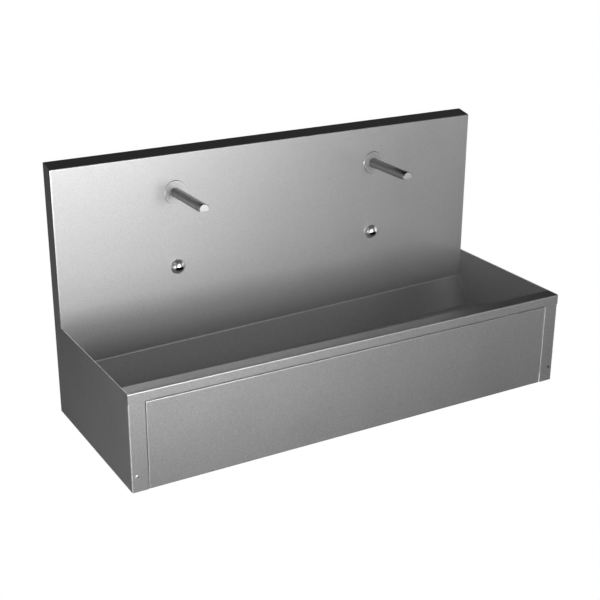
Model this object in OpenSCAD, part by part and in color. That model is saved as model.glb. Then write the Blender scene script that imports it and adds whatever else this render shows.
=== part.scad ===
// Wall-hung sheet steel trough sink with a tall splashback, two straight wall
// spouts, two round touch-free sensors and a drop-down front access panel.
// Origin: on the wall plane, at mid length, at the height of the rim.
// X runs to the right, Y back to the wall, Z up.

/* [Trough] */
// Overall length
trough_length = 1250; // [1000:10:1900]
// Depth from the wall to the front face
trough_depth = 482; // [440:1:600]
// Height from the lower edge of the apron to the rim
apron_height = 252; // [240:1:320]
// Depth of the back fold below the rim, at mid length
fold_depth = 98; // [80:1:105]
// Height of the back fold above the floor
fold_rise = 70; // [55:1:75]
// Slope of the back shelf below the fold, in degrees
shelf_angle = 50; // [42:1:60]
// Fall of the floor from the right end to the left end
floor_fall = 30; // [10:1:36]
// Width of the level front rim
rim_width = 42; // [34:1:60]
// Height of the front lip
lip_height = 27; // [20:1:36]

/* [Splashback] */
// Height of the splashback above the rim, at the wall
splash_height = 419; // [390:1:500]
// Depth of the splashback from the wall to its face
splash_depth = 48; // [46:1:60]
// Drop of the sloped top from the wall to its front edge
splash_bevel = 10; // [4:0.5:16]
// Depth of the flange that the top turns down along the wall
splash_flange = 28; // [16:1:40]

/* [Sheet metal] */
// Thickness of the steel sheet
sheet = 1.5; // [1.2:0.1:2]
// Inside radius of the bends
bend_r = 2; // [1:0.1:3]
// Inside radius of the bends along the seams of the front
seam_r = 0.5; // [0.3:0.1:2]

/* [Front] */
// Width of the upright strip at each end of the front
stile_width = 42; // [36:1:60]
// Gap round the access panel
panel_gap = 1; // [0.8:0.1:3]
// Depth of the folded edges of the panel, the stiles and the lip
return_depth = 12; // [8:0.5:16]
// Diameter of the locking hole in each stile
lock_hole_d = 8; // [5:0.5:10]
// Distance of the locking hole from the end of the trough
lock_hole_inset = 13; // [10:0.5:18]
// Height of the locking hole above the lower edge
lock_hole_rise = 41; // [32:1:60]
// Thickness of the panel's locking tabs and hooks
tab_thick = 2; // [1.5:0.1:3]
// Height of a locking tab
tab_height = 30; // [20:1:36]

/* [Taps] */
// Distance between the two taps
tap_spacing = 600; // [440:10:700]
// Height of the spouts above the rim
tap_rise = 309; // [280:1:330]
// Reach of a spout from the splashback
spout_reach = 170; // [120:1:220]
// Outside diameter of a spout
spout_d = 26; // [24:0.5:30]
// Wall of the spout tube
spout_wall = 2; // [1.5:0.1:3]
// Diameter of a wall rosette
rosette_d = 62; // [50:1:80]
// Thickness of a wall rosette
rosette_thick = 2.5; // [2:0.1:5]
// Depth of the slanted cut under the spout's end
outlet_depth = 8; // [6:0.5:10]
// Length of the slanted cut
outlet_run = 34; // [28:1:44]
// Diameter of the spout's threaded tail
tail_d = 22; // [20:0.5:24]

/* [Sensors] */
// Height of the sensors above the rim
sensor_rise = 108; // [80:1:140]
// Diameter of the sensor dome
dome_d = 40; // [34:1:46]
// Height of the dome
dome_height = 13; // [10:0.5:16]
// Width of the sensor's dark window
window_width = 22; // [16:0.5:26]
// Height of the window
window_height = 9; // [6:0.5:12]
// Drop of the window below the middle of the dome
window_drop = 3; // [0:0.5:5]
// Diameter of the threaded barrel behind the dome
barrel_d = 28; // [22:1:30]

/* [Waste] */
// Distance of the waste from the left end
waste_inset = 110; // [90:1:200]
// Diameter of the waste's flange
waste_flange_d = 86; // [80:1:100]
// Outside diameter of the waste's thread
waste_thread_d = 47.8; // [44:0.1:50]
// Outside diameter of the waste's plain spigot
waste_spigot_d = 40; // [32:0.5:42]
// Length of the waste below the floor
waste_length = 58; // [50:1:62]

/* [Wall fixing] */
// Distance of each column of wall bolts from the end of the trough
bolt_inset = 30; // [22:1:42]
// Distance between the two rows of wall bolts
bolt_spacing_z = 360; // [300:10:380]
// Diameter of the wall bolt holes
bolt_hole_d = 11; // [9:0.5:13]
// Thickness of the wall brackets
bracket_thick = 3; // [2.5:0.1:4]

/* [Service parts] */
// Distance of each valve set from its tap, towards mid length
valve_inset = 60; // [50:5:100]
// Outside diameter of the feed pipes
pipe_d = 12; // [10:1:13]
// Diameter of the inlet's male thread
inlet_thread_d = 20.9; // [16:0.1:22]
// Length of the control box
box_length = 150; // [120:5:200]

/* [Hidden] */
$fn = 64;

// Overrun of every cut past the face that it leaves
over = 1;
// Clearance between pieces that part when something is taken off
slip = 0.5;
// Radial clearance of a turning or sliding fit
run_fit = 0.05;
// Facets of a bend in the sheet
bend_steps = 6;

// Places on the trough
end_x = trough_length / 2;
inner_x = end_x - sheet;
front_y = -trough_depth;
bottom_z = -apron_height;
face_y = -splash_depth;
back_y = face_y + sheet;
wall_y = front_y + rim_width;
floor_z = -fold_depth - fold_rise;
fall_angle = atan(floor_fall / trough_length);
shelf_run = fold_rise / tan(shelf_angle);
shelf_y = face_y - shelf_run;

// Seams of the shell
lap = 18;
weld_gap = bend_r / tan((90 + shelf_angle) / 2) + run_fit;
wall_seam_z = -fold_depth - lap / 2;
wall_top = fold_rise + lap;

// Stiffening rail behind the splashback
stiff_rise = 200;
stiff_width = 60;
stiff_crown = 26;
stiff_depth = 12;
stiff_slant = 6;
stiff_inset = 70;

// Rail along the wall at the bottom
rail_leg = 32;
rail_thick = 2;
rail_lift = 2;

// Wall brackets and their studs
bracket_margin = 30;
bracket_height = bolt_spacing_z + 2 * bracket_margin;
bracket_flange = 50;
bracket_side = 40;
stud_d = 6;
stud_length = 12;
stud_rise = 110;
stud_y = -24;
nut_width = 10;
nut_thick = 5;
washer_d = 12;
washer_thick = 1.2;
stud_fit = 0.3;

// Access panel
panel_x = end_x - stile_width - panel_gap;
panel_top = -lip_height - panel_gap;
tab_z = bottom_z + lock_hole_rise;
tab_reach = 26;
tab_tip = lock_hole_inset - lock_hole_d;
notch = tab_height / 2 + 2 * slip;
hook_x_share = 0.62;
hook_width = 60;
hook_rise = 12;

// Taps
tap_x = tap_spacing / 2;
valve_x = tap_x - valve_inset;
spout_r = spout_d / 2;
tip_chamfer = 1;
tip_wall = 3;
rosette_chamfer = 1;
tail_bore = 12;
tail_reach = 15;
outlet_angle = atan(outlet_depth / outlet_run);
nozzle_d = 15;
nozzle_thick = 4;
nozzle_inset = 2;
nozzle_hole_d = 3;
nozzle_pitch = 4.5;
nozzle_ring = 6;
locknut_width = 32;
locknut_thick = 7;
elbow_d = 27;
elbow_socket = 7;
elbow_arm = 24;
pipe_y = -26;
pipe_wall = 1;
pipe_bend = 24;
pipe_entry = 9;
pipe_socket_d = 18;
pipe_socket = 9;
pipe_nut_width = 24;
pipe_nut_length = 11;
pipe_nut_wall = 3;

// Sensors
dome_skirt = 1.5;
dome_wall = 2;
dome_ball = (pow(dome_d / 2, 2) + pow(dome_height, 2)) / (2 * dome_height);
window_set = 0.6;
barrel_nose = 3;
barrel_length = 26;
sensor_nut_width = 38;
sensor_nut_thick = 6;
lead_d = 9;
lead_wall = 1;
lead_length = 8;

// Valves
valve_d = 24;
valve_lift = 52;
stop_height = 34;
solenoid_height = 42;
solenoid_width = 30;
coil_d = 32;
coil_length = 28;
coil_neck_d = 16;
coil_neck = 6;
coil_plate = 3;
coil_plug = 18;
coil_rise = 19;
coil_stem_d = 9;
coil_stem_end = 1;
coil_nut_width = 14;
coil_nut_thick = 5;
stem_in = 8;
inlet_z = bottom_z + valve_lift;
stop_top = inlet_z + stop_height / 2;
solenoid_top = stop_top + solenoid_height - pipe_entry;
inlet_bore = 14;
inlet_thread = 12;
inlet_collar_d = 26;
boss_d = 16;
boss_length = 8;
stem_d = 8;
lever_length = 36;
lever_width = 10;
lever_thick = 3;
lever_hub_d = 16;
lever_hub = 8;

// Control box
box_depth = 58;
box_height = 52;
box_wall = 3;
box_corner = 6;
lid_thick = 8;
lid_seal_thick = 1;
screw_d = 4;
screw_head_d = 7;
screw_head = 2.5;
screw_length = 16;
screw_inset = 7;
screw_slot = 1;
screw_end_gap = 1;
box_y = -rail_thick - bend_r;
box_z = bottom_z + rail_lift + rail_thick + box_height / 2;
gland_d = 16;
gland_length = 12;
gland_hex_width = 18;
gland_hex = 5;
gland_bore = 6;
gland_neck_d = 14;
gland_count = 3;

// Waste
dish_d = waste_flange_d + 6;
dish_depth = 5;
waste_seat_d = 56;
waste_seat_depth = 2.5;
waste_flange_thick = 4;
waste_flange_slope = 2;
waste_thread = 24;
waste_wall = 2;
waste_bore = waste_spigot_d - 2 * waste_wall;
waste_hole_fit = 0.6;
seal_thick = 3;
seal_d = 68;
backnut_width = 60;
backnut_thick = 10;
seat_gap = 0.3;
strainer_thick = 1.5;
strainer_fit = 0.5;
strainer_hole_d = 4.5;
strainer_knob_d = 11;
strainer_knob = 4;
strainer_stem_d = 5;
strainer_stem = 7;
strainer_rings = 2;
strainer_pitch = 7.5;
waste_x = -end_x + waste_inset;
waste_y = (wall_y + shelf_y) / 2;
waste_z = floor_z / cos(fall_angle) + waste_x * tan(fall_angle);

// Damping pads under the floor
pad_length_share = 0.29;
pad_depth_share = 0.62;
pad_thick = 3;
pad_x_shares = [-0.2, 0.26];

steel = "lightgray";
dark_steel = "gray";
brass_tone = "goldenrod";

function unit(v) = v / norm(v);
function cross2(a, b) = a.x * b.y - a.y * b.x;
function left_of(a, b) = let (d = unit(b - a)) [-d.y, d.x];

// Corner b of a path through a, b and c, rounded to radius r
function corner(a, b, c, r) =
    let (
        u = unit(a - b),
        v = unit(c - b),
        half = acos(u * v) / 2,
        mid = b + unit(u + v) * r / sin(half),
        p = b + u * r / tan(half) - mid,
        q = b + v * r / tan(half) - mid,
        start = atan2(p.y, p.x),
        sweep = (atan2(q.y, q.x) - start + 540) % 360 - 180
    )
    [for (i = [0:bend_steps])
        let (turn = start + sweep * i / bend_steps)
        mid + r * [cos(turn), sin(turn)]];

// The path moved to its left by t
function moved(path, t) =
    let (last = len(path) - 1)
    [for (i = [0:last])
        i == 0 ? path[0] + t * left_of(path[0], path[1])
        : i == last ? path[last] + t * left_of(path[last - 1], path[last])
        : let (m = left_of(path[i - 1], path[i]), n = left_of(path[i], path[i + 1]))
            path[i] + t * (m + n) / (1 + m * n)];

// Radius at a corner, from one radius for all or a list with one for each
function radius_at(r, i) = is_list(r) ? r[i - 1] : r;

// One face of a folded sheet: its radii r grow by t at left turns and by u at right turns
function face(path, r, t, u) =
    let (last = len(path) - 1)
    [for (i = [0:last])
        each (i == 0 || i == last) ? [path[i]]
        : corner(path[i - 1], path[i], path[i + 1], radius_at(r, i)
            + (cross2(path[i] - path[i - 1], path[i + 1] - path[i]) > 0 ? t : u))];

function reversed(list) = [for (i = [len(list) - 1:-1:0]) list[i]];

// Outline of a sheet folded along a path, with its thickness to the path's left
// and its inside radii r
function folded(path, t, r) =
    concat(face(path, r, t, 0), reversed(face(moved(path, t), r, 0, t)));

// Profile in Y and Z, run along X about mid length
module along_x(length) {
    translate([-length / 2, 0, 0])
        rotate([90, 0, 90])
            linear_extrude(length)
                children();
}

module on_side(side) {
    if (side < 0)
        mirror([1, 0, 0])
            children();
    else
        children();
}

// Round bar from y towards the front
module bar(y, length, d) {
    translate([0, y, 0])
        rotate([90, 0, 0])
            cylinder(d = d, h = length);
}

module hexagon(width, height) {
    cylinder(d = width / cos(30), h = height, $fn = 6);
}

// Floor frame: tilted by the fall, with the floor's own height as zero
module on_floor() {
    rotate([0, -fall_angle, 0])
        translate([0, 0, floor_z])
            children();
}

// Places of the right-hand tap, sensor and valve set
module at_tap() {
    translate([tap_x, face_y, tap_rise])
        children();
}

module at_sensor() {
    translate([tap_x, face_y, sensor_rise])
        children();
}

module at_valve(z) {
    translate([valve_x, pipe_y, z])
        children();
}

// Shell

module splashback() {
    profile = [
        [0, splash_height - splash_flange],
        [0, splash_height],
        [face_y, splash_height - splash_bevel],
        [face_y, bottom_z]
    ];
    color(steel)
        difference() {
            along_x(2 * inner_x)
                polygon(folded(profile, sheet, bend_r));
            on_floor()
                along_x(2 * trough_length)
                    polygon([
                        [face_y - over, fold_rise + weld_gap - over * tan(shelf_angle)],
                        [back_y + over, fold_rise + weld_gap + (sheet + over) * tan(shelf_angle)],
                        [back_y + over, -apron_height],
                        [face_y - over, -apron_height]
                    ]);
            for (side = [-1, 1])
                translate([side * tap_x, back_y + over, 0]) {
                    translate([0, 0, tap_rise])
                        bar(0, sheet + 2 * over, tail_d + 2 * slip);
                    translate([0, 0, sensor_rise])
                        bar(0, sheet + 2 * over, barrel_d + 2 * slip);
                }
        }
}

module basin_trough() {
    fold_line = [
        [back_y, fold_rise + lap],
        [back_y, fold_rise + sheet * tan(shelf_angle)],
        [shelf_y, 0],
        [wall_y, 0],
        [wall_y, wall_top]
    ];
    intersection() {
        on_floor()
            along_x(2 * trough_length)
                polygon(folded(fold_line, sheet, bend_r));
        translate([-inner_x, front_y, bottom_z])
            cube([2 * inner_x, trough_depth, apron_height]);
    }
}

// Level front rim, its wall cut along the slanted weld to the trough. The lip
// folds in above the access panel and runs straight down to the stiles.
module basin_rim() {
    fold_end = end_x - stile_width;
    rim_line = [
        [wall_y, wall_seam_z],
        [wall_y, 0],
        [front_y, 0],
        [front_y, -lip_height],
        [front_y + return_depth - slip, -lip_height]
    ];
    plain_line = [for (i = [0:3]) rim_line[i]];
    difference() {
        union() {
            along_x(2 * fold_end)
                polygon(folded(rim_line, sheet, [bend_r, bend_r, seam_r]));
            for (side = [-1, 1])
                translate([side * (inner_x + fold_end) / 2, 0, 0])
                    along_x(inner_x - fold_end)
                        polygon(folded(plain_line, sheet, bend_r));
        }
        on_floor()
            along_x(2 * trough_length)
                polygon([
                    [wall_y - lap, 0],
                    [wall_y + lap, 0],
                    [wall_y + lap, wall_top],
                    [wall_y - lap, wall_top]
                ]);
    }
}

// Level dish for the waste, its wall cut flush with the falling floor
module drain_dish() {
    hole_r = waste_thread_d / 2 + waste_hole_fit;
    difference() {
        translate([waste_x, waste_y, waste_z])
            rotate_extrude($fn = 96)
                difference() {
                    translate([hole_r, -dish_depth - sheet])
                        square([dish_d / 2 + sheet - hole_r, dish_depth + lap]);
                    translate([0, -dish_depth])
                        square([dish_d / 2, dish_depth + 2 * lap]);
                }
        on_floor()
            along_x(2 * trough_length)
                polygon([[front_y, 0], [0, 0], [0, 3 * lap], [front_y, 3 * lap]]);
    }
}

module basin() {
    color(steel)
        union() {
            difference() {
                basin_trough();
                translate([waste_x, waste_y, waste_z - lap])
                    cylinder(d = dish_d + 2 * sheet, h = 2 * lap, $fn = 96);
            }
            drain_dish();
            basin_rim();
        }
}

module end_outline() {
    side = [
        [0, bottom_z],
        [0, splash_height],
        [face_y, splash_height - splash_bevel],
        [face_y, 0],
        [front_y, 0],
        [front_y, -lip_height],
        [front_y + bend_r + sheet, -lip_height],
        [front_y + bend_r + sheet, bottom_z]
    ];
    polygon([
        for (i = [0:len(side) - 1])
            each i == 1 || i == 2 || i == 4 ? corner(side[i - 1], side[i], side[i + 1], bend_r + sheet)
                : [side[i]]
    ]);
}

module end_panel() {
    stile = [
        [end_x - stile_width, front_y + return_depth],
        [end_x - stile_width, front_y],
        [end_x, front_y],
        [end_x, front_y + return_depth]
    ];
    color(steel)
        union() {
            translate([inner_x + sheet / 2, 0, 0])
                along_x(sheet)
                    end_outline();
            difference() {
                translate([0, 0, bottom_z])
                    linear_extrude(apron_height - lip_height)
                        polygon(folded(stile, sheet, [seam_r, bend_r]));
                translate([end_x - lock_hole_inset, front_y + sheet + over, tab_z])
                    bar(0, sheet + 2 * over, lock_hole_d);
                translate([end_x - stile_width - over, front_y + sheet, bottom_z - over])
                    cube([sheet + seam_r + over, return_depth, lock_hole_rise + notch + over]);
            }
            for (z = [-stud_rise, stud_rise])
                translate([inner_x - stud_length, stud_y, z])
                    rotate([0, 90, 0])
                        cylinder(d = stud_d, h = stud_length + sheet / 2);
        }
}

module splashback_stiffener() {
    hat = [
        [back_y + sheet, stiff_rise - stiff_width / 2],
        [back_y + sheet, stiff_rise - stiff_crown / 2 - stiff_slant],
        [back_y + stiff_depth, stiff_rise - stiff_crown / 2],
        [back_y + stiff_depth, stiff_rise + stiff_crown / 2],
        [back_y + sheet, stiff_rise + stiff_crown / 2 + stiff_slant],
        [back_y + sheet, stiff_rise + stiff_width / 2]
    ];
    color(dark_steel)
        along_x(2 * (end_x - stiff_inset))
            polygon(folded(hat, sheet, bend_r));
}

module service_rail() {
    angle = [
        [0, bottom_z + rail_lift + rail_leg],
        [0, bottom_z + rail_lift],
        [-rail_leg, bottom_z + rail_lift]
    ];
    color(dark_steel)
        along_x(2 * inner_x)
            polygon(folded(reversed(angle), rail_thick, bend_r));
}

module wall_bracket() {
    angle = [
        [inner_x - bracket_flange, 0],
        [inner_x, 0],
        [inner_x, -bracket_side]
    ];
    color(dark_steel)
        difference() {
            translate([0, 0, -bracket_height / 2])
                linear_extrude(bracket_height)
                    polygon(folded(reversed(angle), bracket_thick, bend_r));
            for (z = [-1, 1]) {
                translate([end_x - bolt_inset, over, z * bolt_spacing_z / 2])
                    bar(0, bracket_thick + 2 * over, bolt_hole_d);
                translate([inner_x - bracket_thick - over, stud_y, z * stud_rise])
                    rotate([0, 90, 0])
                        cylinder(d = stud_d + 2 * stud_fit, h = bracket_thick + 2 * over);
            }
        }
}

// Places on the four studs, at a distance from the end sheets
module at_studs(distance) {
    for (side = [-1, 1], z = [-stud_rise, stud_rise])
        on_side(side)
            translate([inner_x - distance, stud_y, z])
                rotate([0, -90, 0])
                    children();
}

module bracket_nuts() {
    color(dark_steel)
        at_studs(bracket_thick + washer_thick)
            difference() {
                hexagon(nut_width, nut_thick);
                translate([0, 0, -over])
                    cylinder(d = stud_d + 2 * run_fit, h = nut_thick + 2 * over);
            }
}

module bracket_washers() {
    color(dark_steel)
        at_studs(bracket_thick)
            difference() {
                cylinder(d = washer_d, h = washer_thick);
                translate([0, 0, -over])
                    cylinder(d = stud_d + 2 * stud_fit, h = washer_thick + 2 * over);
            }
}

module damping_pads() {
    pad_length = pad_length_share * trough_length;
    pad_depth = pad_depth_share * (shelf_y - wall_y);
    color("dimgray")
        for (share = pad_x_shares)
            on_floor()
                translate([
                    share * trough_length - pad_length / 2,
                    (wall_y + shelf_y - pad_depth) / 2,
                    -sheet - pad_thick
                ])
                    cube([pad_length, pad_depth, pad_thick]);
}

// Access panel

module access_panel() {
    tray = [
        [-panel_x, front_y + return_depth],
        [-panel_x, front_y],
        [panel_x, front_y],
        [panel_x, front_y + return_depth]
    ];
    sill = [
        [front_y + return_depth, panel_top],
        [front_y, panel_top],
        [front_y, bottom_z],
        [front_y + return_depth, bottom_z]
    ];
    color(steel)
        difference() {
            union() {
                intersection() {
                    translate([0, 0, bottom_z])
                        linear_extrude(panel_top - bottom_z)
                            polygon(folded(tray, sheet, seam_r));
                    along_x(trough_length)
                        polygon(face(sill, seam_r, sheet, 0));
                }
                along_x(2 * (panel_x - seam_r - sheet))
                    polygon(folded(sill, sheet, seam_r));
            }
            for (side = [-1, 1])
                on_side(side)
                    translate([panel_x - sheet - seam_r, front_y + sheet, tab_z - notch])
                        cube([sheet + seam_r + over, return_depth, 2 * notch]);
        }
}

module panel_lock_tab() {
    skin_y = front_y + sheet;
    difference() {
        union() {
            translate([panel_x - tab_reach, skin_y, tab_z - tab_height / 2])
                cube([tab_reach - seam_r - sheet, tab_thick + slip, tab_height]);
            translate([panel_x - tab_reach, skin_y + slip, tab_z - tab_height / 2])
                cube([end_x - tab_tip - panel_x + tab_reach, tab_thick, tab_height]);
        }
        translate([end_x - lock_hole_inset, skin_y + slip + tab_thick + over, tab_z])
            bar(0, tab_thick + 2 * over, lock_hole_d);
    }
}

module panel_lock_tabs() {
    color(dark_steel)
        for (side = [-1, 1])
            on_side(side)
                panel_lock_tab();
}

module panel_hooks() {
    color(dark_steel)
        for (side = [-1, 1])
            translate([
                side * hook_x_share * panel_x - hook_width / 2,
                front_y + return_depth,
                panel_top - sheet
            ])
                cube([hook_width, tab_thick, hook_rise + panel_gap + sheet]);
}

// Taps

module at_nozzle() {
    translate([0, -spout_reach, outlet_depth - spout_r])
        rotate([-outlet_angle, 0, 0])
            translate([0, nozzle_inset + nozzle_d / 2, 0])
                children();
}

module spout() {
    solid_tip = outlet_run + tip_wall;
    color(dark_steel)
        at_tap()
            difference() {
                union() {
                    bar(0, spout_reach - tip_chamfer, spout_d);
                    translate([0, tip_chamfer - spout_reach, 0])
                        rotate([90, 0, 0])
                            cylinder(d1 = spout_d, d2 = spout_d - 2 * tip_chamfer, h = tip_chamfer);
                    bar(tail_reach, tail_reach, tail_d);
                }
                bar(tail_reach + over, tail_reach + tip_wall + 2 * over, tail_bore);
                bar(-tip_wall, spout_reach - solid_tip - tip_wall, spout_d - 2 * spout_wall);
                translate([-spout_d, -spout_reach, outlet_depth - spout_r])
                    rotate([-outlet_angle, 0, 0])
                        translate([0, -outlet_run, -spout_d])
                            cube([2 * spout_d, 3 * outlet_run, spout_d]);
                at_nozzle()
                    translate([0, 0, -over])
                        cylinder(d = nozzle_d + 2 * run_fit, h = nozzle_thick + over);
                at_nozzle()
                    cylinder(d = tail_bore, h = spout_r);
                bar(
                    solid_tip + over - spout_reach,
                    solid_tip + over - nozzle_inset - nozzle_d / 2,
                    tail_bore
                );
            }
}

module spout_nozzle() {
    color(brass_tone)
        at_tap()
            at_nozzle()
                difference() {
                    cylinder(d = nozzle_d, h = nozzle_thick);
                    for (i = [0:nozzle_ring])
                        rotate([0, 0, 360 / nozzle_ring * i])
                            translate([i == nozzle_ring ? 0 : nozzle_pitch, 0, -over])
                                cylinder(d = nozzle_hole_d, h = nozzle_thick + 2 * over, $fn = 24);
                }
}

module spout_rosette() {
    color(steel)
        at_tap()
            difference() {
                union() {
                    bar(0, rosette_thick - rosette_chamfer, rosette_d);
                    translate([0, rosette_chamfer - rosette_thick, 0])
                        rotate([90, 0, 0])
                            cylinder(
                                d1 = rosette_d,
                                d2 = rosette_d - 2 * rosette_chamfer,
                                h = rosette_chamfer
                            );
                }
                bar(over, rosette_thick + 2 * over, spout_d + 2 * run_fit);
            }
}

module spout_locknut() {
    color(brass_tone)
        at_tap()
            translate([0, sheet + locknut_thick, 0])
                rotate([90, 0, 0])
                    difference() {
                        hexagon(locknut_width, locknut_thick);
                        translate([0, 0, -over])
                            cylinder(d = tail_d + 2 * run_fit, h = locknut_thick + 2 * over);
                    }
}

module spout_elbow() {
    centre_y = pipe_y - face_y;
    socket_y = tail_reach - elbow_socket + slip;
    color(brass_tone)
        at_tap()
            difference() {
                union() {
                    bar(centre_y, centre_y - socket_y, elbow_d);
                    translate([0, centre_y, 0])
                        rotate([90, 0, 0])
                            sphere(d = elbow_d);
                    translate([0, centre_y, 0])
                        rotate([0, -90, 0])
                            cylinder(d = pipe_socket_d, h = elbow_arm);
                }
                bar(tail_reach + slip, elbow_socket + over, tail_d + 2 * run_fit);
                bar(centre_y, centre_y - socket_y, tail_bore);
                translate([0, centre_y, 0])
                    rotate([0, -90, 0]) {
                        cylinder(d = pipe_d - 2 * pipe_wall, h = elbow_arm);
                        translate([0, 0, elbow_arm - pipe_entry])
                            cylinder(d = pipe_d + 2 * run_fit, h = pipe_entry + over);
                    }
            }
}

// Sensors

module window_outline(grow) {
    half = (window_width - window_height) / 2;
    union() {
        square([2 * half, window_height + 2 * grow], center = true);
        for (side = [-1, 1])
            translate([side * half, 0])
                circle(d = window_height + 2 * grow);
    }
}

module window_bar(grow, y, length) {
    translate([0, y, -window_drop])
        rotate([90, 0, 0])
            linear_extrude(length)
                window_outline(grow);
}

// Ball trimmed to the dome's skirt and cut off at y
module dome_body(shrink, y) {
    intersection() {
        translate([0, dome_ball - dome_height - dome_skirt, 0])
            sphere(r = dome_ball - shrink, $fn = 96);
        bar(y, y + 2 * dome_height, dome_d - 2 * shrink);
    }
}

module sensor_dome() {
    color("silver")
        at_sensor()
            difference() {
                dome_body(0, 0);
                dome_body(dome_wall, over);
                window_bar(run_fit, -dome_skirt, 2 * dome_height);
            }
}

module sensor_window() {
    color("black")
        at_sensor()
            intersection() {
                window_bar(0, -barrel_nose, 2 * dome_height);
                dome_body(window_set, 0);
            }
}

module sensor_barrel() {
    color("black")
        at_sensor()
            union() {
                difference() {
                    bar(barrel_length, barrel_length + barrel_nose, barrel_d);
                    bar(barrel_length + over, lead_length, lead_d);
                }
                bar(barrel_length, lead_length, lead_d - 2 * lead_wall);
            }
}

module sensor_locknut() {
    color("black")
        at_sensor()
            translate([0, sheet + sensor_nut_thick, 0])
                rotate([90, 0, 0])
                    difference() {
                        hexagon(sensor_nut_width, sensor_nut_thick);
                        translate([0, 0, -over])
                            cylinder(d = barrel_d + 2 * run_fit, h = sensor_nut_thick + 2 * over);
                    }
}

// Water supply behind the shelf

module pipe_ring() {
    difference() {
        circle(d = pipe_d);
        circle(d = pipe_d - 2 * pipe_wall);
    }
}

module feed_pipe() {
    top_x = tap_x - elbow_arm + pipe_entry;
    run_x = top_x - valve_x - pipe_bend;
    base_z = solenoid_top + slip;
    color(brass_tone)
        union() {
            translate([valve_x, pipe_y, base_z])
                linear_extrude(tap_rise - pipe_bend - base_z)
                    pipe_ring();
            translate([valve_x + pipe_bend, pipe_y, tap_rise])
                rotate([0, 90, 0])
                    linear_extrude(run_x)
                        pipe_ring();
            translate([valve_x + pipe_bend, pipe_y, tap_rise - pipe_bend])
                rotate([90, 0, 0])
                    rotate([0, 0, 90])
                        rotate_extrude(angle = 90)
                            translate([pipe_bend, 0])
                                pipe_ring();
        }
}

module solenoid_valve() {
    half_y = valve_d / 2;
    color(brass_tone)
        at_valve(stop_top)
            difference() {
                union() {
                    translate([-solenoid_width / 2, -half_y, 0])
                        cube([solenoid_width, valve_d, solenoid_height - pipe_socket]);
                    cylinder(d = pipe_socket_d, h = solenoid_height);
                    translate([0, 0, coil_rise]) {
                        bar(-half_y, coil_neck, coil_neck_d);
                        bar(-half_y, coil_neck + coil_length + coil_nut_thick + coil_stem_end, coil_stem_d);
                    }
                }
                translate([0, 0, -over])
                    cylinder(d = pipe_d - 2 * pipe_wall, h = solenoid_height + 2 * over);
                translate([0, 0, solenoid_height - pipe_entry])
                    cylinder(d = pipe_d + 2 * run_fit, h = pipe_entry + over);
            }
}

module solenoid_coil() {
    start_y = -valve_d / 2 - coil_neck;
    color("black")
        at_valve(stop_top + coil_rise)
            difference() {
                union() {
                    bar(start_y, coil_length, coil_d);
                    translate([
                        -coil_plug / 2,
                        start_y - (coil_length + coil_plug) / 2,
                        -coil_d / 2 - coil_plate
                    ])
                        cube([coil_plug, coil_plug, coil_d / 2]);
                }
                bar(start_y + over, coil_length + 2 * over, coil_stem_d + 2 * run_fit);
            }
}

module coil_nuts() {
    color(dark_steel)
        for (side = [-1, 1])
            on_side(side)
                at_valve(stop_top + coil_rise)
                    translate([0, -valve_d / 2 - coil_neck - coil_length, 0])
                        rotate([90, 0, 0])
                            difference() {
                                hexagon(coil_nut_width, coil_nut_thick);
                                translate([0, 0, -over])
                                    cylinder(d = coil_stem_d + 2 * run_fit, h = coil_nut_thick + 2 * over);
                            }
}

// Nut from its open end to its back wall, which closes round the pipe
module pipe_nut() {
    difference() {
        hexagon(pipe_nut_width, pipe_nut_length);
        translate([0, 0, -over]) {
            cylinder(d = pipe_socket_d + 2 * run_fit, h = pipe_nut_length - pipe_nut_wall + over);
            cylinder(d = pipe_d + 2 * run_fit, h = pipe_nut_length + 2 * over);
        }
    }
}

// Nuts of the pipe sockets on the elbows and the solenoid valves
module compression_nuts() {
    reach = pipe_nut_length - pipe_nut_wall;
    color(brass_tone)
        for (side = [-1, 1])
            on_side(side) {
                at_tap()
                    translate([reach - elbow_arm, pipe_y - face_y, 0])
                        rotate([0, -90, 0])
                            pipe_nut();
                at_valve(stop_top + solenoid_height - reach)
                    pipe_nut();
            }
}

// Threaded inlet with a slanted shoulder, from the wall to the valve's middle
module stop_inlet() {
    shoulder = (inlet_collar_d - inlet_thread_d) / 2;
    translate([0, -pipe_y, 0])
        rotate([90, 0, 0]) {
            cylinder(d = inlet_thread_d, h = inlet_thread);
            translate([0, 0, inlet_thread])
                cylinder(d1 = inlet_thread_d, d2 = inlet_collar_d, h = shoulder);
            translate([0, 0, inlet_thread + shoulder])
                cylinder(d = inlet_collar_d, h = -pipe_y - inlet_thread - shoulder);
        }
}

module stop_valve() {
    color(brass_tone)
        at_valve(inlet_z)
            difference() {
                union() {
                    translate([0, 0, -stop_height / 2])
                        cylinder(d = valve_d, h = stop_height);
                    stop_inlet();
                    bar(0, valve_d / 2 + boss_length, boss_d);
                }
                bar(-pipe_y + over, -pipe_y + over, inlet_bore);
                cylinder(d = inlet_bore, h = stop_height);
                bar(stem_in - boss_length - valve_d / 2, stem_in + over, stem_d + 2 * run_fit);
            }
}

module stop_lever() {
    start_y = -valve_d / 2 - boss_length;
    color("firebrick")
        at_valve(inlet_z)
            union() {
                bar(start_y + stem_in - slip, stem_in + lever_hub, stem_d);
                bar(start_y - slip, lever_hub, lever_hub_d);
                translate([0, start_y - slip - lever_hub + lever_thick, 0])
                    rotate([90, 0, 0])
                        linear_extrude(lever_thick)
                            union() {
                                translate([-lever_width / 2, -lever_length])
                                    square([lever_width, lever_length]);
                                translate([0, -lever_length])
                                    circle(d = lever_width);
                            }
            }
}

// Control box

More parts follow.
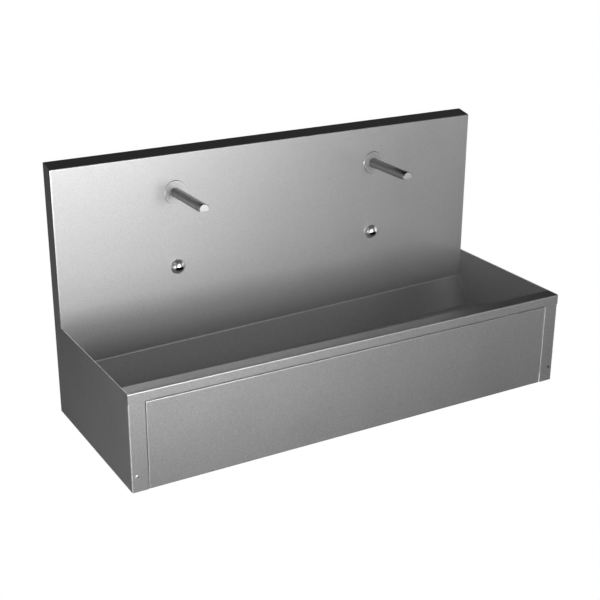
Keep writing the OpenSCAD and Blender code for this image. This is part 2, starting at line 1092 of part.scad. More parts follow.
module rounded_rect(width, height, r) {
    union() {
        square([width - 2 * r, height], center = true);
        square([width, height - 2 * r], center = true);
        for (x = [-1, 1], z = [-1, 1])
            translate([x * (width / 2 - r), z * (height / 2 - r)])
                circle(r = r);
    }
}

module at_box(y) {
    translate([0, y, box_z])
        rotate([90, 0, 0])
            children();
}

module at_box_screws() {
    for (x = [-1, 1], z = [-1, 1])
        translate([x * (box_length / 2 - screw_inset), z * (box_height / 2 - screw_inset), 0])
            children();
}

module control_box() {
    color("gainsboro")
        difference() {
            at_box(box_y)
                difference() {
                    linear_extrude(box_depth)
                        rounded_rect(box_length, box_height, box_corner);
                    translate([0, 0, box_wall])
                        linear_extrude(box_depth)
                            rounded_rect(box_length - 4 * screw_inset, box_height - 2 * box_wall, box_wall);
                    translate([0, 0, box_depth + lid_seal_thick + lid_thick - screw_length])
                        at_box_screws()
                            cylinder(d = screw_d + 2 * run_fit, h = screw_length);
                }
            at_glands()
                translate([0, 0, -box_wall - over])
                    cylinder(d = gland_d + 2 * run_fit, h = box_wall + 2 * over);
        }
}

module lid_gasket() {
    color("black")
        at_box(box_y - box_depth)
            difference() {
                linear_extrude(lid_seal_thick)
                    difference() {
                        rounded_rect(box_length - 2 * slip, box_height - 2 * slip, box_corner - slip);
                        rounded_rect(box_length - 4 * screw_inset, box_height - 2 * box_wall, box_wall);
                    }
                translate([0, 0, -over])
                    at_box_screws()
                        cylinder(d = screw_d + 2 * run_fit, h = lid_seal_thick + 2 * over);
            }
}

module control_box_lid() {
    color("gainsboro")
        at_box(box_y - box_depth - lid_seal_thick)
            difference() {
                linear_extrude(lid_thick)
                    rounded_rect(box_length, box_height, box_corner);
                at_box_screws() {
                    translate([0, 0, -over])
                        cylinder(d = screw_d + 2 * run_fit, h = lid_thick + 2 * over);
                    translate([0, 0, lid_thick - screw_head])
                        cylinder(d = screw_head_d + 2 * run_fit, h = screw_head + over);
                }
            }
}

module control_box_screws() {
    color(steel)
        at_box(box_y - box_depth - lid_seal_thick - lid_thick)
            mirror([0, 0, 1])
                at_box_screws()
                    difference() {
                        union() {
                            cylinder(d = screw_head_d, h = screw_head);
                            cylinder(d = screw_d, h = screw_length - screw_end_gap);
                        }
                        translate([-screw_head_d, -screw_slot / 2, -over])
                            cube([2 * screw_head_d, screw_slot, over + screw_head / 2]);
                    }
}

module at_glands() {
    for (i = [0:gland_count - 1])
        translate([
            (i - (gland_count - 1) / 2) * box_length / (gland_count + 1),
            box_y - box_depth / 2,
            box_z + box_height / 2
        ])
            children();
}

module cable_glands() {
    color("dimgray")
        at_glands()
            difference() {
                union() {
                    hexagon(gland_hex_width, gland_hex);
                    cylinder(d = gland_neck_d, h = gland_length);
                    translate([0, 0, -box_wall])
                        cylinder(d = gland_d, h = box_wall + over);
                }
                translate([0, 0, -box_wall - over])
                    cylinder(d = gland_bore, h = gland_length + box_wall + 2 * over);
            }
}

// Waste

module at_waste(z) {
    translate([waste_x, waste_y, waste_z - dish_depth + z])
        children();
}

module waste_body() {
    shoulder = (waste_thread_d - waste_spigot_d) / 2;
    seat_z = waste_flange_thick - waste_seat_depth;
    color(steel)
        at_waste(0)
            rotate_extrude($fn = 96)
                polygon([
                    [waste_bore / 2, -waste_length],
                    [waste_spigot_d / 2, -waste_length],
                    [waste_spigot_d / 2, -waste_thread - shoulder],
                    [waste_thread_d / 2, -waste_thread],
                    [waste_thread_d / 2, 0],
                    [waste_flange_d / 2, 0],
                    [waste_flange_d / 2 - waste_flange_slope, waste_flange_thick],
                    [waste_seat_d / 2, waste_flange_thick],
                    [waste_seat_d / 2, seat_z],
                    [waste_bore / 2, seat_z]
                ]);
}

module waste_seal() {
    color("black")
        at_waste(-sheet - seal_thick)
            difference() {
                cylinder(d = seal_d, h = seal_thick);
                translate([0, 0, -over])
                    cylinder(d = waste_thread_d + 2 * run_fit, h = seal_thick + 2 * over);
            }
}

module waste_backnut() {
    color(brass_tone)
        at_waste(-sheet - seal_thick - backnut_thick)
            difference() {
                hexagon(backnut_width, backnut_thick);
                translate([0, 0, -over])
                    cylinder(d = waste_thread_d + 2 * run_fit, h = backnut_thick + 2 * over);
            }
}

module waste_strainer() {
    color("silver")
        at_waste(waste_flange_thick - waste_seat_depth + seat_gap)
            difference() {
                union() {
                    cylinder(d = waste_seat_d - 2 * strainer_fit, h = strainer_thick);
                    cylinder(d = strainer_stem_d, h = strainer_stem);
                    translate([0, 0, strainer_stem])
                        cylinder(d1 = strainer_stem_d, d2 = strainer_knob_d, h = strainer_knob);
                }
                for (ring = [1:strainer_rings], i = [0:6 * ring - 1])
                    rotate([0, 0, 60 * i / ring])
                        translate([ring * strainer_pitch, 0, -over])
                            cylinder(d = strainer_hole_d, h = strainer_thick + 2 * over, $fn = 24);
            }
}

splashback();
basin();
on_side(-1) end_panel();  // end_panel_left
end_panel();  // end_panel_right
splashback_stiffener();
service_rail();
on_side(-1) wall_bracket();  // wall_bracket_left
wall_bracket();  // wall_bracket_right
bracket_nuts();
bracket_washers();
damping_pads();
access_panel();
panel_lock_tabs();
panel_hooks();
on_side(-1) spout();  // spout_left
spout();  // spout_right
on_side(-1) spout_rosette();  // spout_rosette_left
spout_rosette();  // spout_rosette_right
on_side(-1) spout_nozzle();  // spout_nozzle_left
spout_nozzle();  // spout_nozzle_right
on_side(-1) spout_locknut();  // spout_locknut_left
spout_locknut();  // spout_locknut_right
on_side(-1) spout_elbow();  // spout_elbow_left
spout_elbow();  // spout_elbow_right
on_side(-1) sensor_dome();  // sensor_dome_left
sensor_dome();  // sensor_dome_right
on_side(-1) sensor_window();  // sensor_window_left
sensor_window();  // sensor_window_right
on_side(-1) sensor_barrel();  // sensor_barrel_left
sensor_barrel();  // sensor_barrel_right
on_side(-1) sensor_locknut();  // sensor_locknut_left
sensor_locknut();  // sensor_locknut_right
on_side(-1) feed_pipe();  // feed_pipe_left
feed_pipe();  // feed_pipe_right
on_side(-1) solenoid_valve();  // solenoid_valve_left
solenoid_valve();  // solenoid_valve_right
on_side(-1) solenoid_coil();  // solenoid_coil_left
solenoid_coil();  // solenoid_coil_right
coil_nuts();
compression_nuts();
on_side(-1) stop_valve();  // stop_valve_left
stop_valve();  // stop_valve_right
on_side(-1) stop_lever();  // stop_lever_left
stop_lever();  // stop_lever_right
control_box();
lid_gasket();
control_box_lid();
control_box_screws();
cable_glands();
waste_body();
waste_seal();
waste_backnut();
waste_strainer();
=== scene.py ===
"""Looks of a wall-hung trough sink, laid round its packed model: satin sheet steel with its welds,
spouts, sensor domes, supply parts, control box, waste, wall fixing and a soft studio.
Everything is in metres. X runs to the right, Y back to the wall, Z up, with zero at the rim."""

import math

import bmesh
import bpy
from bpy.props import FloatProperty, FloatVectorProperty, PointerProperty
from mathutils import Matrix, Quaternion, Vector


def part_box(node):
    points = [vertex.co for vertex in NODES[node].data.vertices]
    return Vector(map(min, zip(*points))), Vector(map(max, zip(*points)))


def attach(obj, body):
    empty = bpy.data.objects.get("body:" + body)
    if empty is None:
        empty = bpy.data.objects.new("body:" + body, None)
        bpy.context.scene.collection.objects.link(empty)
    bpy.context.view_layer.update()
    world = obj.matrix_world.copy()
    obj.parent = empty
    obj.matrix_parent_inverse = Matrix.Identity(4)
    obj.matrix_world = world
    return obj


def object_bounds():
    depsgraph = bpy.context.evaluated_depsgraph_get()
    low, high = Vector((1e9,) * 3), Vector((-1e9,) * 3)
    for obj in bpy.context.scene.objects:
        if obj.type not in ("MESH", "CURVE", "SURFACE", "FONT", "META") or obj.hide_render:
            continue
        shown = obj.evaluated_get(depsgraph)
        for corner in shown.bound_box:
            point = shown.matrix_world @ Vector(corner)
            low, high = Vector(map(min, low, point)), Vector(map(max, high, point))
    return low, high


bl_info = {
    "name": "Trough Sink Looks",
    "version": (1, 0, 0),
    "blender": (4, 5, 0),
    "location": "3D View > Sidebar > Trough Sink",
    "description": "Finishes, welds, threads and studio for a packed trough sink",
    "category": "Object",
}

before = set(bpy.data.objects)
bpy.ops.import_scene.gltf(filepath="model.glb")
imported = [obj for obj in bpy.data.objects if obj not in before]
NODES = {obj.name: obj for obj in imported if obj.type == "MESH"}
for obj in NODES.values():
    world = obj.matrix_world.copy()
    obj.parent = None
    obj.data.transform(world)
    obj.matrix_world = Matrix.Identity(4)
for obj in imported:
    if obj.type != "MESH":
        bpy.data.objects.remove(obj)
CAD_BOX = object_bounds()
MM = 0.001
SIDES = {"left": -1, "right": 1}
RIGHT = Vector((1, 0, 0))
BACK = Vector((0, 1, 0))
UP = Vector((0, 0, 1))

# Bodies that the added pieces ride on
TROUGH = "trough"
PANEL = "panel"

# Sizes and places of the packed pieces that their boxes don't give
SHEET = 1.5 * MM
BEND = 2 * MM
SHELF_ANGLE = math.radians(50)
FOLD_RISE = 70 * MM
RIM_WIDTH = 42 * MM
WALL_SEAM_DEPTH = 107 * MM
DISH_RADIUS = 47.5 * MM
STIFFENER_FLANGE = 11 * MM
RAIL_THICK = 2 * MM
HOOK_WIDTH = 60 * MM
WALL_Y = 0.0
INLET_RADIUS = 10.45 * MM
INLET_THREAD = 12 * MM
BARREL_RADIUS = 14 * MM
WASTE_THREAD_RADIUS = 23.9 * MM
WASTE_THREAD = 9.5 * MM
STUD_RADIUS = 3 * MM
STUD_END = 2.8 * MM
STUD_Y = -24 * MM
STUD_RISE = 110 * MM
BRACKET_NUT_THICK = 5 * MM
BOSS_RADIUS = 8 * MM
COIL_RADIUS = 16 * MM
COIL_CENTRE = -164 * MM
GLAND_RADIUS = 7 * MM
GLAND_PITCH = 37.5 * MM

# Welds: how deep a ground one is in its corner, how much of a bend it cuts off, the share of its
# radius that a hidden one is proud, the hooks' share of that radius, and degrees round the dish
WELD_SUNK = 0.4 * MM
WELD_CORNER = 0.7 * BEND
WELD_PROUD = 0.5
HOOK_WELD_SHARE = 0.8
DISH_STEP = 5

# Spot welds of the tabs: place to each side, and rise above and below the middle
TAB_WELD_X = 562 * MM
TAB_WELD_RISE = 8 * MM

# Rail's welds: how far they stop from its edges, and what they cut off its corner
RAIL_WELD_END = 2 * MM
RAIL_WELD_TURN = MM

# Packing nut round the stem of a stop valve
PACKING_PLACE = 6 * MM
PACKING_WIDTH = 20 * MM
PACKING_THICK = 4 * MM
PACKING_CHAMFER = 0.7 * MM

# Ribs of a coil: the corners of one, by rise over the coil and by height, and their places
COIL_RIB = ((-0.4 * MM, 0.0), (0.6 * MM, 0.3 * MM), (0.6 * MM, 1.1 * MM), (-0.4 * MM, 1.4 * MM))
COIL_RIBS = 6
COIL_RIB_START = 3 * MM
COIL_RIB_PITCH = 4 * MM

# Slotted plug screw under a coil
PLUG_RADIUS = 3 * MM
PLUG_HEIGHT = 1.8 * MM
PLUG_SLOT = 0.9 * MM

# Grip ribs of a gland
GLAND_RIBS = 12
GLAND_RIB_RADIUS = 0.6 * MM
GLAND_RIB_FOOT = 6 * MM
GLAND_RIB_TOP = MM


def low(node):
    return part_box(node)[0]


def high(node):
    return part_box(node)[1]


def middle(node):
    return (low(node) + high(node)) / 2


def both_sides(*nodes):
    """The left-hand and right-hand nodes of pairs"""
    return [f"{node}_{side}" for node in nodes for side in SIDES]


# Sizes and colours that a user would change


class SheetFinish(bpy.types.PropertyGroup):
    """Satin sheet steel"""

    tone: FloatVectorProperty(
        name="Steel tone", description="Colour of clean satin sheet", subtype="COLOR",
        default=(0.62, 0.62, 0.62), min=0, max=1)
    roughness: FloatProperty(
        name="Roughness", description="Spread of the satin shine", subtype="FACTOR",
        default=0.48, min=0.05, max=1)
    grain_size: FloatProperty(
        name="Grain size", description="Width of one fleck of the blasted grain", unit="LENGTH",
        default=2.1 * MM, min=0.2 * MM, max=20 * MM)
    grain_contrast: FloatProperty(
        name="Grain contrast", description="How far a fleck is lighter or darker",
        subtype="FACTOR", default=0.34, min=0, max=1)
    grain_depth: FloatProperty(
        name="Grain depth", description="Height of the grain", unit="LENGTH",
        default=0.008 * MM, min=0, max=MM)
    cloud: FloatProperty(
        name="Handling marks", description="How much cleaning clouds the shine", subtype="FACTOR",
        default=0.02, min=0, max=0.5)
    # Strength of the painted highlight along the bends, mixed into the sheet's colour
    edge_highlight: FloatProperty(
        name="Edge shine", description="How much the bends are rubbed bright", subtype="FACTOR",
        default=0.9, min=0, max=1)


class WeldSizes(bpy.types.PropertyGroup):
    """Welds of the shell"""

    fold_bead: FloatProperty(
        name="Fold weld", description="Radius of the ground weld along the back fold",
        unit="LENGTH", default=1.5 * MM, min=0.3 * MM, max=4 * MM)
    corner_bead: FloatProperty(
        name="Corner weld", description="Radius of the welds at the basin's wall and ends",
        unit="LENGTH", default=0.8 * MM, min=0.3 * MM, max=4 * MM)
    hidden_bead: FloatProperty(
        name="Hidden weld", description="Radius of the rippled welds behind the sheet",
        unit="LENGTH", default=1.4 * MM, min=0.5 * MM, max=4 * MM)
    ripple: FloatProperty(
        name="Ripple", description="Length of one ripple of a hidden weld", unit="LENGTH",
        default=2.4 * MM, min=MM, max=8 * MM)
    spot: FloatProperty(
        name="Spot weld", description="Diameter of a spot weld", unit="LENGTH",
        default=6 * MM, min=3 * MM, max=10 * MM)
    spot_pitch: FloatProperty(
        name="Spot pitch", description="Distance between spot welds", unit="LENGTH",
        default=74 * MM, min=20 * MM, max=200 * MM)


class ThreadSizes(bpy.types.PropertyGroup):
    """Pitches of the cut threads"""

    waste: FloatProperty(
        name="Waste pitch", description="Pitch of the thread on the waste", unit="LENGTH",
        default=2.31 * MM, min=MM, max=4 * MM)
    inlet: FloatProperty(
        name="Inlet pitch", description="Pitch of the thread on the inlets", unit="LENGTH",
        default=1.81 * MM, min=MM, max=3 * MM)
    barrel: FloatProperty(
        name="Barrel pitch", description="Pitch of the thread on the sensor barrels",
        unit="LENGTH", default=2 * MM, min=MM, max=3 * MM)
    stud: FloatProperty(
        name="Stud pitch", description="Pitch of the thread on the studs", unit="LENGTH",
        default=MM, min=0.5 * MM, max=2 * MM)


class FittingTones(bpy.types.PropertyGroup):
    """Colours of the fittings"""

    spout: FloatVectorProperty(
        name="Spout", description="Brushed steel of the spouts", subtype="COLOR",
        default=(0.24, 0.24, 0.245), min=0, max=1)
    # Tone of the forward-facing spout ends, painted brighter than the tube as a highlight
    painted_end_highlight: FloatVectorProperty(
        name="Faced end", description="Faced ends of the spouts", subtype="COLOR",
        default=(0.78, 0.78, 0.78), min=0, max=1)
    inner: FloatVectorProperty(
        name="Inner steel", description="Plain steel of rails and brackets", subtype="COLOR",
        default=(0.50, 0.50, 0.495), min=0, max=1)
    chrome: FloatVectorProperty(
        name="Chrome", description="Mirror plating of the sensor domes", subtype="COLOR",
        default=(0.86, 0.87, 0.88), min=0, max=1)
    window: FloatVectorProperty(
        name="Window", description="Dark window of the sensors", subtype="COLOR",
        default=(0.006, 0.005, 0.006), min=0, max=1)
    brass: FloatVectorProperty(
        name="Brass", description="Raw brass of the valves", subtype="COLOR",
        default=(0.70, 0.52, 0.26), min=0, max=1)
    pipe: FloatVectorProperty(
        name="Pipe", description="Steel of the feed pipes", subtype="COLOR",
        default=(0.60, 0.60, 0.60), min=0, max=1)
    black: FloatVectorProperty(
        name="Black plastic", description="Moulded black plastic", subtype="COLOR",
        default=(0.018, 0.018, 0.019), min=0, max=1)
    grey: FloatVectorProperty(
        name="Grey plastic", description="Moulded plastic of the control box", subtype="COLOR",
        default=(0.42, 0.43, 0.43), min=0, max=1)
    lever: FloatVectorProperty(
        name="Lever coat", description="Coat of the stop levers", subtype="COLOR",
        default=(0.42, 0.02, 0.015), min=0, max=1)
    rubber: FloatVectorProperty(
        name="Rubber", description="Seals", subtype="COLOR",
        default=(0.02, 0.02, 0.02), min=0, max=1)
    pad: FloatVectorProperty(
        name="Damping sheet", description="Sound-deadening pads", subtype="COLOR",
        default=(0.035, 0.035, 0.037), min=0, max=1)


class StudioSettings(bpy.types.PropertyGroup):
    """Floor, lights and camera"""

    lens: FloatProperty(
        name="Lens", description="Focal length in millimetres on a 36 mm sensor",
        default=71.4, min=20, max=200)
    camera_place: FloatVectorProperty(
        name="Camera", description="Place of the camera", subtype="XYZ", unit="LENGTH",
        default=(-1.489, -2.7293, 1.166))
    camera_aim: FloatVectorProperty(
        name="Aim", description="Point that the camera looks at", subtype="XYZ", unit="LENGTH",
        default=(0.0529, -0.0749, -0.0452))
    camera_roll: FloatProperty(
        name="Roll", description="Tilt of the camera about its own axis", subtype="ANGLE",
        default=math.radians(0.318))
    floor_drop: FloatProperty(
        name="Floor", description="Depth of the floor below the rim", unit="LENGTH",
        default=0.85, min=0.3, max=2)
    backdrop: FloatProperty(
        name="Backdrop", description="Brightness of the floor and the backdrop", subtype="FACTOR",
        default=1.0, min=0, max=1)
    light_level: FloatProperty(
        name="Light level", description="Strength of all the softboxes together", subtype="FACTOR",
        default=1.0, min=0, max=4)
    light_distance: FloatProperty(
        name="Light distance", description="Distance of the softboxes from the sink",
        unit="LENGTH", default=3.5, min=1.5, max=8)
    room: FloatProperty(
        name="Room", description="Brightness of the dim room in the metal", subtype="FACTOR",
        default=0.012, min=0, max=1)


SETTINGS = {
    "sink_sheet": SheetFinish,
    "sink_welds": WeldSizes,
    "sink_threads": ThreadSizes,
    "sink_tones": FittingTones,
    "sink_studio": StudioSettings,
}


# Shader nodes

FLOAT = "NodeSocketFloat"
COLOR = "NodeSocketColor"

# Sockets of the colour half of a Mix node
MIX_A, MIX_B, MIX_RESULT = 6, 7, 2

# Middle of a noise, and the gain on its small swing about that
NOISE_MIDDLE = 0.5
NOISE_GAIN = 4.0

# Samples of the bevel that finds the edges, and the gain on its bend
BEVEL_SAMPLES = 4
EDGE_GAIN = 8.0

# Scale of the wave texture that gives one ring a metre, and how far the rings wander
RING_SCALE = 0.314
RING_WANDER = 0.6


def add_node(tree, kind, **values):
    """Add a node, with its own settings given by name"""
    made = tree.nodes.new(kind)
    for name, value in values.items():
        setattr(made, name, value)
    return made


def feed(tree, source, target, socket):
    """Link a socket, or set a plain value, on a node's input"""
    if isinstance(source, bpy.types.NodeSocket):
        tree.links.new(source, target.inputs[socket])
    else:
        target.inputs[socket].default_value = source


def feed_all(tree, target, **sources):
    """Feed several inputs, each under its name with underscores for spaces"""
    for name, source in sources.items():
        feed(tree, source, target, name.replace("_", " "))


def start_group(name, inputs, outputs):
    """Shader node group with inputs of (name, type, default) and outputs of (name, type)"""
    tree = bpy.data.node_groups.new(name, "ShaderNodeTree")
    for label, kind, value in inputs:
        made = tree.interface.new_socket(name=label, in_out="INPUT", socket_type=kind)
        made.default_value = value
    for label, kind in outputs:
        tree.interface.new_socket(name=label, in_out="OUTPUT", socket_type=kind)
    return tree, add_node(tree, "NodeGroupInput").outputs, add_node(tree, "NodeGroupOutput")


def noise(tree, place, scale, detail, roughness):
    made = add_node(tree, "ShaderNodeTexNoise")
    feed_all(tree, made, Vector=place, Scale=scale, Detail=detail, Roughness=roughness)
    return made.outputs["Fac"]


def math_node(tree, operation, *values, clamp=False):
    made = add_node(tree, "ShaderNodeMath", operation=operation, use_clamp=clamp)
    for i, value in enumerate(values):
        feed(tree, value, made, i)
    return made.outputs[0]


def vector_node(tree, operation, first, second):
    made = add_node(tree, "ShaderNodeVectorMath", operation=operation)
    feed(tree, first, made, 0)
    feed(tree, second, made, 1)
    return made.outputs


def spread(tree, value, low_in=0.0, high_in=1.0, low_out=0.0, high_out=1.0):
    made = add_node(tree, "ShaderNodeMapRange")
    feed_all(tree, made, Value=value, From_Min=low_in, From_Max=high_in, To_Min=low_out,
             To_Max=high_out)
    return made.outputs["Result"]


def object_place(tree):
    return add_node(tree, "ShaderNodeTexCoord").outputs["Object"]


def times_colour(tree, colour, value):
    made = add_node(tree, "ShaderNodeVectorMath", operation="SCALE")
    feed(tree, colour, made, 0)
    feed(tree, value, made, "Scale")
    return made.outputs[0]


def mix_colour(tree, factor, first, second):
    made = add_node(tree, "ShaderNodeMix", data_type="RGBA")
    feed(tree, factor, made, "Factor")
    feed(tree, first, made, MIX_A)
    feed(tree, second, made, MIX_B)
    return made.outputs[MIX_RESULT]


def layered_noise(tree, size, roughness, finer, share):
    """Noise of a size, with a share of one that is so many times finer laid over it"""
    place = object_place(tree)
    scale = math_node(tree, "DIVIDE", 1.0, size)
    fine_scale = math_node(tree, "MULTIPLY", scale, finer)
    coarse = noise(tree, place, scale, detail=3.0, roughness=roughness)
    fine = noise(tree, place, fine_scale, detail=2.0, roughness=0.6)
    under = math_node(tree, "MULTIPLY", coarse, 1 - share)
    return math_node(tree, "MULTIPLY_ADD", fine, share, under)


def swing(tree, value, amount, centre, clamp=False):
    """A noise's swing, brought to an amount and laid about a new centre"""
    apart = math_node(tree, "SUBTRACT", value, NOISE_MIDDLE)
    share = math_node(tree, "MULTIPLY", apart, amount)
    return math_node(tree, "MULTIPLY_ADD", share, NOISE_GAIN, centre, clamp=clamp)


def grain_group():
    """Flecks of a blasted or moulded surface, fine over coarse"""
    tree, given, out = start_group(
        "Grain",
        [("Color", COLOR, (0.6, 0.6, 0.6, 1)), ("Size", FLOAT, 2 * MM), ("Contrast", FLOAT, 0.1)],
        [("Color", COLOR), ("Height", FLOAT)])
    height = layered_noise(tree, given["Size"], roughness=0.65, finer=2.3, share=0.4)
    tone = swing(tree, height, given["Contrast"], 1.0)
    feed_all(tree, out, Color=times_colour(tree, given["Color"], tone), Height=height)
    return tree


def cloud_group():
    """Broad soft marks that dull or polish a shine"""
    tree, given, out = start_group(
        "Cloud",
        [("Roughness", FLOAT, 0.35), ("Amount", FLOAT, 0.05), ("Size", FLOAT, 0.12)],
        [("Roughness", FLOAT), ("Mask", FLOAT)])
    mask = layered_noise(tree, given["Size"], roughness=0.55, finer=4.7, share=0.35)
    roughness = swing(tree, mask, given["Amount"], given["Roughness"], clamp=True)
    feed_all(tree, out, Roughness=roughness, Mask=mask)
    return tree


def edge_group():
    """Mask of the outer edges and bends within a radius"""
    tree, given, out = start_group(
        "Edges", [("Radius", FLOAT, 3 * MM), ("Amount", FLOAT, 0.5)], [("Mask", FLOAT)])
    rounded = add_node(tree, "ShaderNodeBevel", samples=BEVEL_SAMPLES)
    feed(tree, given["Radius"], rounded, "Radius")
    true_normal = add_node(tree, "ShaderNodeNewGeometry").outputs["Normal"]
    likeness = vector_node(tree, "DOT_PRODUCT", rounded.outputs["Normal"], true_normal)["Value"]
    bent = math_node(tree, "SUBTRACT", 1.0, likeness)
    full = math_node(tree, "MULTIPLY", bent, EDGE_GAIN)
    feed(tree, math_node(tree, "MULTIPLY", full, given["Amount"], clamp=True), out, "Mask")
    return tree


def rings_group():
    """Turning marks of a lathe about an upright axis"""
    tree, given, out = start_group(
        "Turning marks",
        [("Axis Place", "NodeSocketVector", (0, 0, 0)), ("Pitch", FLOAT, 0.4 * MM)],
        [("Height", FLOAT)])
    offset = vector_node(tree, "SUBTRACT", object_place(tree), given["Axis Place"])["Vector"]
    wave = add_node(tree, "ShaderNodeTexWave", wave_type="RINGS", rings_direction="Z")
    scale = math_node(tree, "DIVIDE", RING_SCALE, given["Pitch"])
    feed_all(tree, wave, Vector=offset, Scale=scale, Distortion=RING_WANDER)
    feed(tree, wave.outputs["Fac"], out, "Height")
    return tree


# How each shared effect is made, and those made so far
GROUPS = {"grain": grain_group, "cloud": cloud_group, "edges": edge_group, "rings": rings_group}
BUILT = {}


def use_group(tree, key, **values):
    """Place a shared effect in a material, built on first use"""
    if key not in BUILT:
        BUILT[key] = GROUPS[key]()
    made = add_node(tree, "ShaderNodeGroup", node_tree=BUILT[key])
    feed_all(tree, made, **values)
    return made.outputs


def start_material(name, metallic=0.0):
    made = bpy.data.materials.new(name)
    made.use_nodes = True
    shader = made.node_tree.nodes["Principled BSDF"]
    shader.inputs["Metallic"].default_value = metallic
    return made, made.node_tree, shader


def surface(tree, shader, colour, roughness, height=None, depth=None):
    """Feed a shader its colour, its roughness and, where it has one, its relief"""
    feed_all(tree, shader, Base_Color=colour, Roughness=roughness)
    if height is not None:
        bump = add_node(tree, "ShaderNodeBump")
        feed_all(tree, bump, Height=height, Distance=depth)
        feed(tree, bump.outputs["Normal"], shader, "Normal")


def rgba(colour):
    return (*colour, 1.0)


def brighter(tone, gain, most=1.0):
    """A tone brightened, its channels held under a limit"""
    return tuple(min(most, gain * channel) for channel in tone)


# Finishes

# Sheet: size of its broad marks, and how much smoother its bends are
SHEET_CLOUD = 0.16
EDGE_POLISH = 0.12

# Faced ends of the spouts, painted brighter as a highlight, by how squarely a face looks forward
FACED_FROM = 0.85
FACED_WHOLE = 0.95
FACED_ROUGHNESS = 0.48

# Share of the turning marks in a turned surface's relief
RING_SHARE = 0.4

# Scuffed edges of mouldings: the share kept of the colour, and the grey laid on it
SCUFF_SHARE = 0.7
SCUFF_GREY = 0.05


def tones():
    return bpy.context.scene.sink_tones


def sheet_metal(name, tone, roughness, contrast=1.0, highlight_share=1.0):
    """Sheet with blasted grain, faint handling marks, and smoother bends brightened as a painted
    highlight
    """
    sheet = bpy.context.scene.sink_sheet
    made, tree, shader = start_material(name, metallic=1.0)
    grain = use_group(tree, "grain", Color=rgba(tone), Size=sheet.grain_size,
                      Contrast=sheet.grain_contrast * contrast)
    cloud = use_group(tree, "cloud", Roughness=roughness, Amount=sheet.cloud, Size=SHEET_CLOUD)
    edges = use_group(tree, "edges", Radius=4 * MM, Amount=sheet.edge_highlight * highlight_share)
    # Bends are mixed to a brighter tone: a painted highlight
    painted_bend_highlight = rgba(brighter(tone, gain=1.6, most=0.98))
    colour = mix_colour(tree, edges["Mask"], grain["Color"], painted_bend_highlight)
    worn = math_node(tree, "MULTIPLY_ADD", edges["Mask"], -EDGE_POLISH, cloud["Roughness"])
    surface(tree, shader, colour, worn, grain["Height"], sheet.grain_depth)
    return made


def satin_steel():
    sheet = bpy.context.scene.sink_sheet
    return sheet_metal("satin_sheet", sheet.tone, sheet.roughness)


def spout_steel():
    """Brushed tube whose forward-facing end is painted as bright as the sheet, as a highlight"""
    made = sheet_metal("spout_satin", tones().spout, roughness=0.24, contrast=0.8, highlight_share=0.5)
    tree = made.node_tree
    shader = tree.nodes["Principled BSDF"]
    direction = add_node(tree, "ShaderNodeTexCoord").outputs["Normal"]
    facing = vector_node(tree, "DOT_PRODUCT", direction, tuple(-BACK))["Value"]
    painted_end_highlight = spread(tree, facing, low_in=FACED_FROM, high_in=FACED_WHOLE)
    tube_colour = shader.inputs["Base Color"].links[0].from_socket
    tube_roughness = shader.inputs["Roughness"].links[0].from_socket
    # Forward-facing ends are mixed to a brighter tone: a painted highlight
    colour = mix_colour(tree, painted_end_highlight, tube_colour, rgba(tones().painted_end_highlight))
    roughness = spread(tree, painted_end_highlight, low_out=tube_roughness, high_out=FACED_ROUGHNESS)
    surface(tree, shader, colour, roughness)
    return made


def inner_steel():
    return sheet_metal("plain_sheet", tones().inner, roughness=0.42, contrast=0.8, highlight_share=0.8)


def weld_metal():
    """Bright weld metal, a little warmer and less even than the sheet"""
    made, tree, shader = start_material("weld_metal", metallic=1.0)
    grain = use_group(tree, "grain", Color=(0.56, 0.555, 0.54, 1), Size=1.4 * MM, Contrast=0.2)
    cloud = use_group(tree, "cloud", Roughness=0.34, Amount=0.12, Size=0.02)
    surface(tree, shader, grain["Color"], cloud["Roughness"], grain["Height"], 0.05 * MM)
    return made


def ground_weld_highlight():
    """Weld ground flush and blended with the sheet, its tone raised above the sheet's as a painted
    highlight along the seam
    """
    highlight_tone = brighter(bpy.context.scene.sink_sheet.tone, gain=1.5, most=0.95)
    return sheet_metal("ground_weld_highlight", highlight_tone, roughness=0.45, contrast=1.2, highlight_share=0.0)


def mirror_chrome():
    made, tree, shader = start_material("dome_chrome", metallic=1.0)
    grain = use_group(tree, "grain", Color=rgba(tones().chrome), Size=5 * MM, Contrast=0.03)
    cloud = use_group(tree, "cloud", Roughness=0.36, Amount=0.02, Size=0.012)
    surface(tree, shader, grain["Color"], cloud["Roughness"])
    return made


def dark_window():
    made, tree, shader = start_material("window_dark")
    grain = use_group(tree, "grain", Color=rgba(tones().window), Size=2 * MM, Contrast=0.2)
    cloud = use_group(tree, "cloud", Roughness=0.30, Amount=0.03, Size=0.01)
    surface(tree, shader, grain["Color"], cloud["Roughness"])
    shader.inputs["Specular IOR Level"].default_value = 0.12
    return made


def cast_metal(name, tone, roughness, fleck, depth, turned_about=None):
    """Cast or drawn metal of the fittings, with turning marks where it was on a lathe"""
    made, tree, shader = start_material(name, metallic=1.0)
    grain = use_group(tree, "grain", Color=rgba(tone), Size=fleck, Contrast=0.12)
    cloud = use_group(tree, "cloud", Roughness=roughness, Amount=0.1, Size=0.03)
    edges = use_group(tree, "edges", Radius=1.2 * MM, Amount=0.5)
    patches = spread(tree, cloud["Mask"], low_in=0.3, high_in=0.7, low_out=0.86, high_out=1.06)
    dulled = times_colour(tree, grain["Color"], patches)
    # Edges are mixed to a brighter tone: a painted highlight
    colour = mix_colour(tree, edges["Mask"], dulled, rgba(brighter(tone, gain=1.25)))
    height = grain["Height"]
    if turned_about is not None:
        rings = use_group(tree, "rings", Axis_Place=turned_about, Pitch=0.5 * MM)
        marks = math_node(tree, "MULTIPLY", rings["Height"], RING_SHARE)
        height = math_node(tree, "ADD", height, marks)
    surface(tree, shader, colour, cloud["Roughness"], height, depth)
    return made


